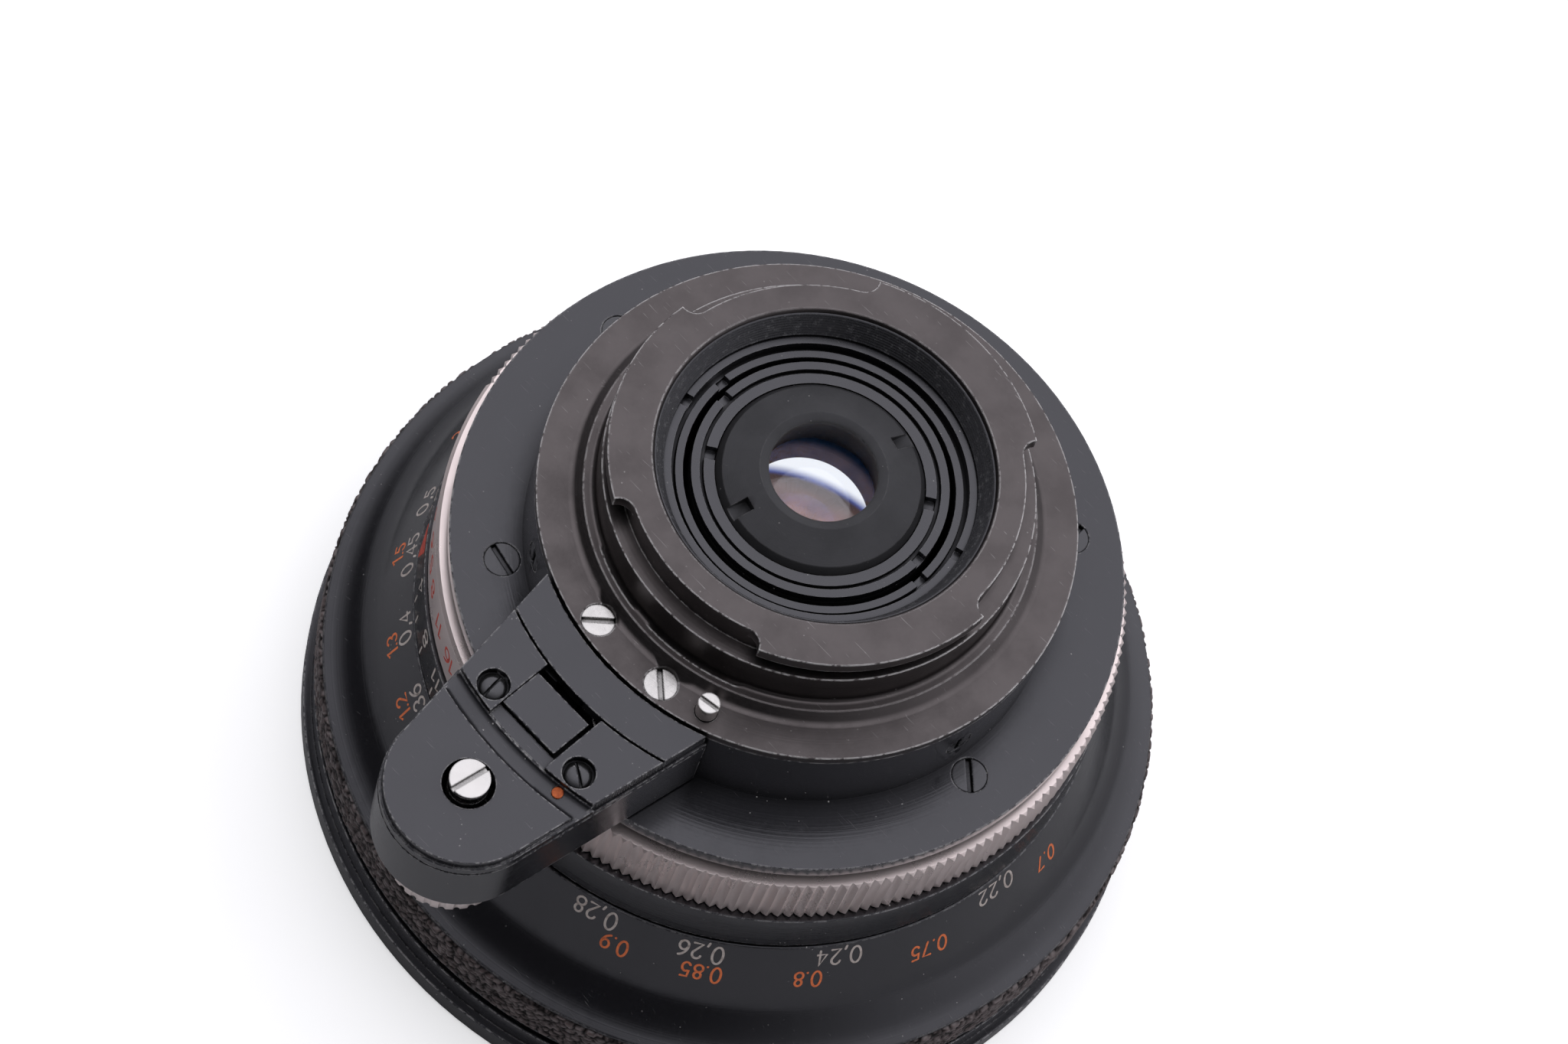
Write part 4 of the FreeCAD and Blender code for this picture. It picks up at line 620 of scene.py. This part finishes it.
def domed_screws(node):
    """Round-headed slotted screws in the two counterbores of the arm blocks."""
    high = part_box(node)[1]
    source = frame["nodes"][node].data
    head, rise, gap, slot_half, slot_deep = 1.3, 0.42, 0.1, 0.13, 0.5
    floor_rise, floor_deep, overlap = 0.02, 1.2, 0.01
    for number, side in enumerate((-1, 1)):
        halves = [v.co for v in source.vertices if v.co.y * side > 0]
        x = 0.5 * (min(p.x for p in halves) + max(p.x for p in halves)) / MM
        y = 0.5 * (min(p.y for p in halves) + max(p.y for p in halves)) / MM
        top = high.z / MM - gap
        turn = math.radians(SCREW_SLOT[number])
        shape = bmesh.new()
        for way in (-1, 1):
            part = dome(head, rise, slot_deep)
            bmesh.ops.bisect_plane(part, geom=part.verts[:] + part.edges[:] + part.faces[:],
                                   plane_co=Vector((way * slot_half, 0, 0)) * MM,
                                   plane_no=Vector((way, 0, 0)), clear_inner=True)
            bmesh.ops.holes_fill(part, edges=part.edges)
            add_turned(shape, part, turn, (x, y, top))
        floor = dome(head, floor_rise, floor_deep)
        add_turned(shape, floor, turn, (x, y, top - slot_deep + overlap))
        mesh = bpy.data.meshes.new("arm_screw_%d" % (number + 1))
        bmesh.ops.recalc_face_normals(shape, faces=shape.faces)
        shape.to_mesh(mesh)
        shape.free()
        mesh.shade_smooth()
        mesh.set_sharp_from_angle(angle=math.radians(RIDGE_ANGLE))
        piece = put_in("arm_screw_%d" % (number + 1), mesh, LOOKS["black_screw"],
                       BODY_OF[node])
        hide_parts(node)


def dome(radius, rise, deep, around=48, rings=7):
    """A round head: a shallow dome on a short cylinder, its rim at height -rise."""
    part = bmesh.new()
    centre = part.verts.new((0, 0, 0))
    rows = []
    for k in range(1, rings + 1):
        share = k / rings
        z = -rise * share * share
        rows.append([part.verts.new(ring_point(radius * share, 2 * math.pi * j / around, z))
                     for j in range(around)])
    rows.append([part.verts.new(ring_point(radius, 2 * math.pi * j / around, -rise - deep))
                 for j in range(around)])
    for j in range(around):
        part.faces.new((centre, rows[0][j], rows[0][(j + 1) % around]))
    for here, there in zip(rows, rows[1:]):
        for j in range(around):
            after = (j + 1) % around
            part.faces.new((here[j], there[j], there[after], here[after]))
    part.faces.new(rows[-1][::-1])
    return part


def add_turned(shape, part, angle, place):
    """Copies a part into a shape, turned about Z and moved, and frees it."""
    twist = Matrix.Translation(Vector(place) * MM) @ Matrix.Rotation(angle, 4, "Z")
    fresh = {vert: shape.verts.new(twist @ vert.co) for vert in part.verts}
    for face in part.faces:
        shape.faces.new([fresh[vert] for vert in face.verts])
    part.free()


# -------------------------------------------------------------------- painted numbers

def arc(cx, cy, rx, ry, start, end, steps=14):
    """Points along an ellipse, angles in degrees, counted anticlockwise from the right."""
    angles = [math.radians(start + (end - start) * k / steps) for k in range(steps + 1)]
    return [(cx + rx * math.cos(a), cy + ry * math.sin(a)) for a in angles]


# Strokes of each character in a box one unit high; a stroke that ends where it began
# is a closed loop.
DIGIT_WIDTH = 0.54
SIX = [arc(0.27, 0.3, 0.26, 0.3, 0, 360), arc(0.62, 0.32, 0.61, 0.68, 180, 105, 8)]
STROKES = {
    "0": [arc(0.27, 0.5, 0.27, 0.5, 0, 360, 24)],
    "1": [[(0.08, 0.78), (0.3, 1.0), (0.3, 0.0)]],
    "2": [arc(0.27, 0.73, 0.25, 0.27, 165, -35) + [(0.02, 0.0), (0.54, 0.0)]],
    "3": [arc(0.27, 0.75, 0.24, 0.25, 150, -90) + arc(0.27, 0.26, 0.27, 0.26, 90, -150)[1:]],
    "4": [[(0.42, 0.0), (0.42, 1.0), (0.02, 0.26), (0.56, 0.26)]],
    "5": [[(0.5, 1.0), (0.1, 1.0), (0.06, 0.54)] + arc(0.27, 0.32, 0.26, 0.32, 120, -150)],
    "6": SIX,
    "7": [[(0.02, 1.0), (0.54, 1.0), (0.2, 0.0)]],
    "8": [arc(0.27, 0.76, 0.22, 0.24, 0, 360), arc(0.27, 0.26, 0.27, 0.26, 0, 360)],
    "9": [[(DIGIT_WIDTH - x, 1 - y) for x, y in stroke] for stroke in SIX],
    ",": [[(0.07, 0.06), (0.0, -0.14)]],
    ".": [[(0.05, 0.03), (0.05, 0.05)]],
}
# How far the next character starts from this one.
ADVANCE = {",": 0.32, ".": 0.30, "1": 0.52}
LETTER_SPACE = 0.80
PLAIN_WIDTH = 0.55
TOUCHING = 1e-6
LIFT = 0.015
SUNK = 0.12
ROUND_END = (0, 25, 50, 80)


def text_width(text):
    return sum(ADVANCE.get(letter, LETTER_SPACE) for letter in text[:-1]) + DIGIT_WIDTH


class Engraving:
    """Collects numbers and lines of one colour on one node and makes one mesh of them.

    The strokes follow the node's surface and stand LIFT proud of it."""

    def __init__(self, node):
        self.node = node
        self.surface = surface_of(node)
        self.shape = bmesh.new()

    def section(self, angle, z, along, half):
        """Four corners of a stroke's cross-section; along is the (round, up) direction."""
        corners = []
        for side, level in ((1, LIFT), (-1, LIFT), (-1, -SUNK), (1, -SUNK)):
            turn = angle + side * half * -along[1] / self.radius
            place_z = z + side * half * along[0]
            radius = outer_radius(self.surface, turn, place_z) + level
            corners.append(self.shape.verts.new(ring_point(radius, turn, place_z)))
        return corners

    def stroke(self, points, width):
        """A raised line through (distance round, z) points, with rounded ends."""
        closed = math.dist(points[0], points[-1]) < TOUCHING and len(points) > 3
        if closed:
            points = points[:-1]
        count = len(points)
        sections = []
        half = width / 2
        for k, point in enumerate(points):
            before = points[k - 1] if closed or k else points[0]
            after = points[(k + 1) % count] if closed or k < count - 1 else points[-1]
            dx, dz = after[0] - before[0], after[1] - before[1]
            size = math.hypot(dx, dz)
            along = (dx / size, dz / size)
            ends = []
            if not closed and k in (0, count - 1):
                way = -1 if k == 0 else 1
                turns = [math.radians(a) for a in ROUND_END[::way]]
                ends = [(way * half * math.sin(a), half * math.cos(a)) for a in turns]
            for shift, reach in ends or [(0.0, half)]:
                sections.append(self.section((point[0] + along[0] * shift) / self.radius,
                                             point[1] + along[1] * shift, along, reach))
        pairs = list(zip(sections, sections[1:] + sections[:1]))
        for here, there in pairs if closed else pairs[:-1]:
            for k in range(4):
                after = (k + 1) % 4
                self.shape.faces.new((here[k], here[after], there[after], there[k]))
        if not closed:
            self.shape.faces.new(sections[0])
            self.shape.faces.new(sections[-1][::-1])

    def line(self, angle, start_z, end_z, width):
        self.radius = outer_radius(self.surface, math.radians(angle), 0.5 * (start_z + end_z))
        spot = math.radians(angle) * self.radius
        self.stroke([(spot, start_z), (spot, end_z)], width)

    def text(self, words, angle, z, height, width=0.55, stroke=0.3, first=1.0):
        """Numbers centred at an angle in degrees, read from outside with the mount below.

        z is the foot of the digits; they rise toward the front of the lens, and the
        first digit can be larger than the others."""
        self.radius = outer_radius(self.surface, math.radians(angle), z)
        spread = width / PLAIN_WIDTH * height
        x = -0.5 * text_width(words) * spread
        for number, letter in enumerate(words):
            size = first if number == 0 else 1.0
            for points in STROKES[letter]:
                placed = [(math.radians(angle) * self.radius - (x + px * spread * size),
                           z - py * height * size) for px, py in points]
                if math.dist(points[0], points[-1]) < TOUCHING:
                    placed[-1] = placed[0]
                self.stroke(placed, stroke)
            x += ADVANCE.get(letter, LETTER_SPACE) * spread * size

    def pointer(self, angle, base_z, tip_z, half_width):
        """A filled triangle with its tip toward tip_z, laid down as close lines."""
        lines, overlap = 9, 2.4
        self.radius = outer_radius(self.surface, math.radians(angle), 0.5 * (base_z + tip_z))
        spot = math.radians(angle) * self.radius
        for k in range(-lines, lines + 1):
            share = k / (lines + 1)
            end = tip_z + (base_z - tip_z) * abs(share)
            beside = spot + half_width * share
            self.stroke([(beside, base_z), (beside, end)], overlap * half_width / lines)

    def finish(self, name, ink):
        bmesh.ops.recalc_face_normals(self.shape, faces=self.shape.faces)
        mesh = bpy.data.meshes.new(name)
        self.shape.to_mesh(mesh)
        self.shape.free()
        put_in(name, mesh, INK[ink], BODY_OF[self.node])


# Angles are in degrees round the axis, counted from the arm.
INDEX_ANGLE = -50.6
SCALE_FAR_ANGLE = -142.5
SCALE_SPREAD = 36.0
SCALE_NEAR_END = 0.098
SCALE_POWER = 0.881
CLICK = 6.5
FOOT = 0.3048
# The depth-of-field marks: stop, angle from the index, and whether it has a number.
DEPTH_MARKS = ((4, 8.3, True), (5.6, 11.9, False), (8, 17.4, True), (11, 24.7, True),
               (16, 33.5, True))


def focus_angle(metres):
    """Where a distance stands on the ring, read at the infinity end of the travel."""
    return SCALE_FAR_ANGLE + SCALE_SPREAD / (metres - SCALE_NEAR_END) ** SCALE_POWER


def engrave():
    """All the numbers and marks; the foot heights are z in millimetres."""
    metres_foot, feet_foot, depth_foot, stops_foot = -26.5, -29.1, -20.9, -15.0
    mark_top, mark_tip, index_top = -23.9, -25.2, -21.0
    metres = Engraving("focus_ring")
    for words in ("0,22", "0,24", "0,26", "0,28", "0,3", "0,36", "0,4", "0,45", "0,5", "0,7",
                  "1", "2"):
        angle = focus_angle(float(words.replace(",", ".")))
        metres.text(words, angle, metres_foot, 1.9, width=0.49, stroke=0.24, first=1.12)
    metres.finish("scale_metres", "cream")
    feet = Engraving("focus_ring")
    for words in ("0.7", "0.75", "0.8", "0.85", "0.9", "1", "1.2", "1.3", "1.5", "2", "3", "7"):
        angle = focus_angle(float(words) * FOOT)
        feet.text(words, angle, feet_foot, 1.75, width=0.48, stroke=0.24, first=1.1)
    feet.finish("scale_feet", "orange")
    depth = Engraving("depth_of_field_ring")
    for stop, offset, label in DEPTH_MARKS:
        for side in (-1, 1):
            angle = INDEX_ANGLE + side * offset
            depth.line(angle, mark_top, mark_tip, 0.22)
            if label:
                depth.text(str(stop), angle, depth_foot, 2.1, width=0.6, stroke=0.26)
    depth.finish("depth_scale", "cream")
    pointer = Engraving("depth_of_field_ring")
    pointer.pointer(INDEX_ANGLE, index_top, mark_tip, half_width=1.5)
    pointer.finish("index_mark", "red")
    stops = Engraving("aperture_ring")
    for click, words in enumerate(("4", "5.6", "8", "11", "16", "22")):
        stops.text(words, INDEX_ANGLE + CLICK * click, stops_foot, 2.5, width=0.5, stroke=0.28)
    stops.finish("stop_numbers", "red")


# ---------------------------------------------------------------------- all the pieces

# Width of each node's broken edges.
PLAIN_EDGE = 0.06
EDGE = dict(bayonet_mount=0.07, aperture_ring=0.035, lock_pin=0.04, mount_screws=0.04,
            focus_ring=0.14, rear_cover=0.09, arm_housing=0.1, depth_of_field_ring=0.08,
            cover_screws=0.15, hub_screws=0.15, front_rim=0.12)
made = {}
for node in frame["nodes"]:
    if node not in ("focus_grip", "arm_screws"):
        look = LOOKS[LOOK_OF.get(node, SLOTS[node])]
        made[node] = finished(node, look, EDGE.get(node, PLAIN_EDGE))

grained_grip("focus_grip")
domed_screws("arm_screws")
engrave()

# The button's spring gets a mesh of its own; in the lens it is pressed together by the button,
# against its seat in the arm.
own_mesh(made["return_spring"])

fine_ridges("throat_thread", start=(16.06, 8.3), end=(14.98, 5.95), count=9, depth=0.16,
            sunk=0.35, look=LOOKS["thread_black"], body="lens_body")
fine_ridges("cell_light_ribs", start=(5.3, 6.7), end=(5.72, 4.2), count=8, depth=0.12,
            sunk=0.2, look=LOOKS["black_anodised"], body=BODY_OF["rear_cell"],
            around=240)
file_marks("arm_file_marks", low_z=-1.0, high_z=-0.12, first_x=27.2, last_x=36.5)
fine_ridges("filter_thread_ridges", start=(41.0, -51.2), end=(41.0, -48.9), count=4,
            depth=0.35, sunk=0.3, look=LOOKS["black_anodised"], body=BODY_OF["front_rim"])


# --------------------------------------------------------------------------- stage

FLOOR_HALF_SIZE = 1.6
FLOOR_IN_GLOSS = 0.42
FLOOR_GLOW = 0.5
SKY_BRIGHT = 1.25
SKY_DARK_SIDE = 0.03
SKY_LIGHT_SIDE = 0.75
SKY_COLOUR = (0.985, 0.98, 1.04, 1.0)
# The soft box hangs where the flat tops mirror it to the camera; the room is lighter on
# the right of the photo.
SOFT_BOX_WAY = (-0.43, -0.20, 0.88)
LIGHT_SIDE_WAY = (-0.94, 0.34, 0.0)


def make_floor():
    """A pale card: white to the camera, dimmer in reflections, like a small backdrop."""
    low = FRAME_BOX[0]
    half = FLOOR_HALF_SIZE
    mesh = bpy.data.meshes.new("floor")
    corners = [(-half, -half), (half, -half), (half, half), (-half, half)]
    mesh.from_pydata([(x, y, low.z) for x, y in corners], [], [(0, 1, 2, 3)])
    floor = bpy.data.objects.new("floor", mesh)
    bpy.context.scene.collection.objects.link(floor)
    paint = Paint("floor_card")
    seen = paint.add("ShaderNodeLightPath").outputs
    card = paint.mix(paint.noise(0.05, 3.0), grey(0.86), grey(0.89))
    paint.set("Base Color", paint.mix(seen["Is Glossy Ray"], card, grey(FLOOR_IN_GLOSS)))
    paint.set("Roughness", 0.85)
    paint.set("Emission Color", (1.0, 1.0, 1.0, 1.0))
    paint.set("Emission Strength", paint.math("MULTIPLY", seen["Is Camera Ray"], FLOOR_GLOW))
    mesh.materials.append(paint.material)


def make_world():
    """Soft light from a big diffuser above and behind, fading into a darker room."""
    world = bpy.data.worlds.new("studio")
    world.use_nodes = True
    tree = world.node_tree
    back = tree.nodes["Background"]
    place = tree.nodes.new("ShaderNodeTexCoord")

    def along(way, low, high):
        """A smooth fade from low to high in how far a direction leans one way."""
        lean = tree.nodes.new("ShaderNodeVectorMath")
        lean.operation = "DOT_PRODUCT"
        lean.inputs[1].default_value = way
        tree.links.new(place.outputs["Generated"], lean.inputs[0])
        fade = tree.nodes.new("ShaderNodeMapRange")
        fade.interpolation_type = "SMOOTHSTEP"
        tree.links.new(lean.outputs["Value"], fade.inputs["Value"])
        fade.inputs["From Min"].default_value = low
        fade.inputs["From Max"].default_value = high
        return fade

    side = along(LIGHT_SIDE_WAY, -0.5, 0.95)
    side.inputs["To Min"].default_value = SKY_DARK_SIDE
    side.inputs["To Max"].default_value = SKY_LIGHT_SIDE
    top = along(SOFT_BOX_WAY, 0.3, 0.85)
    tree.links.new(side.outputs["Result"], top.inputs["To Min"])
    top.inputs["To Max"].default_value = SKY_BRIGHT
    tree.links.new(top.outputs["Result"], back.inputs["Strength"])
    back.inputs["Color"].default_value = SKY_COLOUR
    bpy.context.scene.world = world


# The photograph's viewpoint, in millimetres and degrees.
CAMERA_PLACE = (167.83, 78.80, 342.90)
CAMERA_ROUND = 25.658
CAMERA_DOWN = 28.037
CAMERA_ROLL = 22.184
SENSOR_WIDTH = 36.0
FOCAL_LENGTH = 94.957


def make_camera():
    """The photograph's viewpoint: 26 degrees round from the arm, 62 degrees up."""
    data = bpy.data.cameras.new("camera")
    data.sensor_width = SENSOR_WIDTH
    data.lens = FOCAL_LENGTH
    data.clip_start = 0.01
    data.clip_end = 20.0
    camera = bpy.data.objects.new("camera", data)
    pan = Matrix.Rotation(math.radians(90 + CAMERA_ROUND), 4, "Z")
    tilt = Matrix.Rotation(math.radians(CAMERA_DOWN), 4, "X")
    roll = Matrix.Rotation(math.radians(CAMERA_ROLL), 4, "Z")
    camera.matrix_world = Matrix.Translation(Vector(CAMERA_PLACE) * MM) @ pan @ tilt @ roll
    bpy.context.scene.collection.objects.link(camera)
    bpy.context.scene.camera = camera


make_floor()
make_world()
make_camera()
bpy.context.scene.view_settings.view_transform = "Standard"
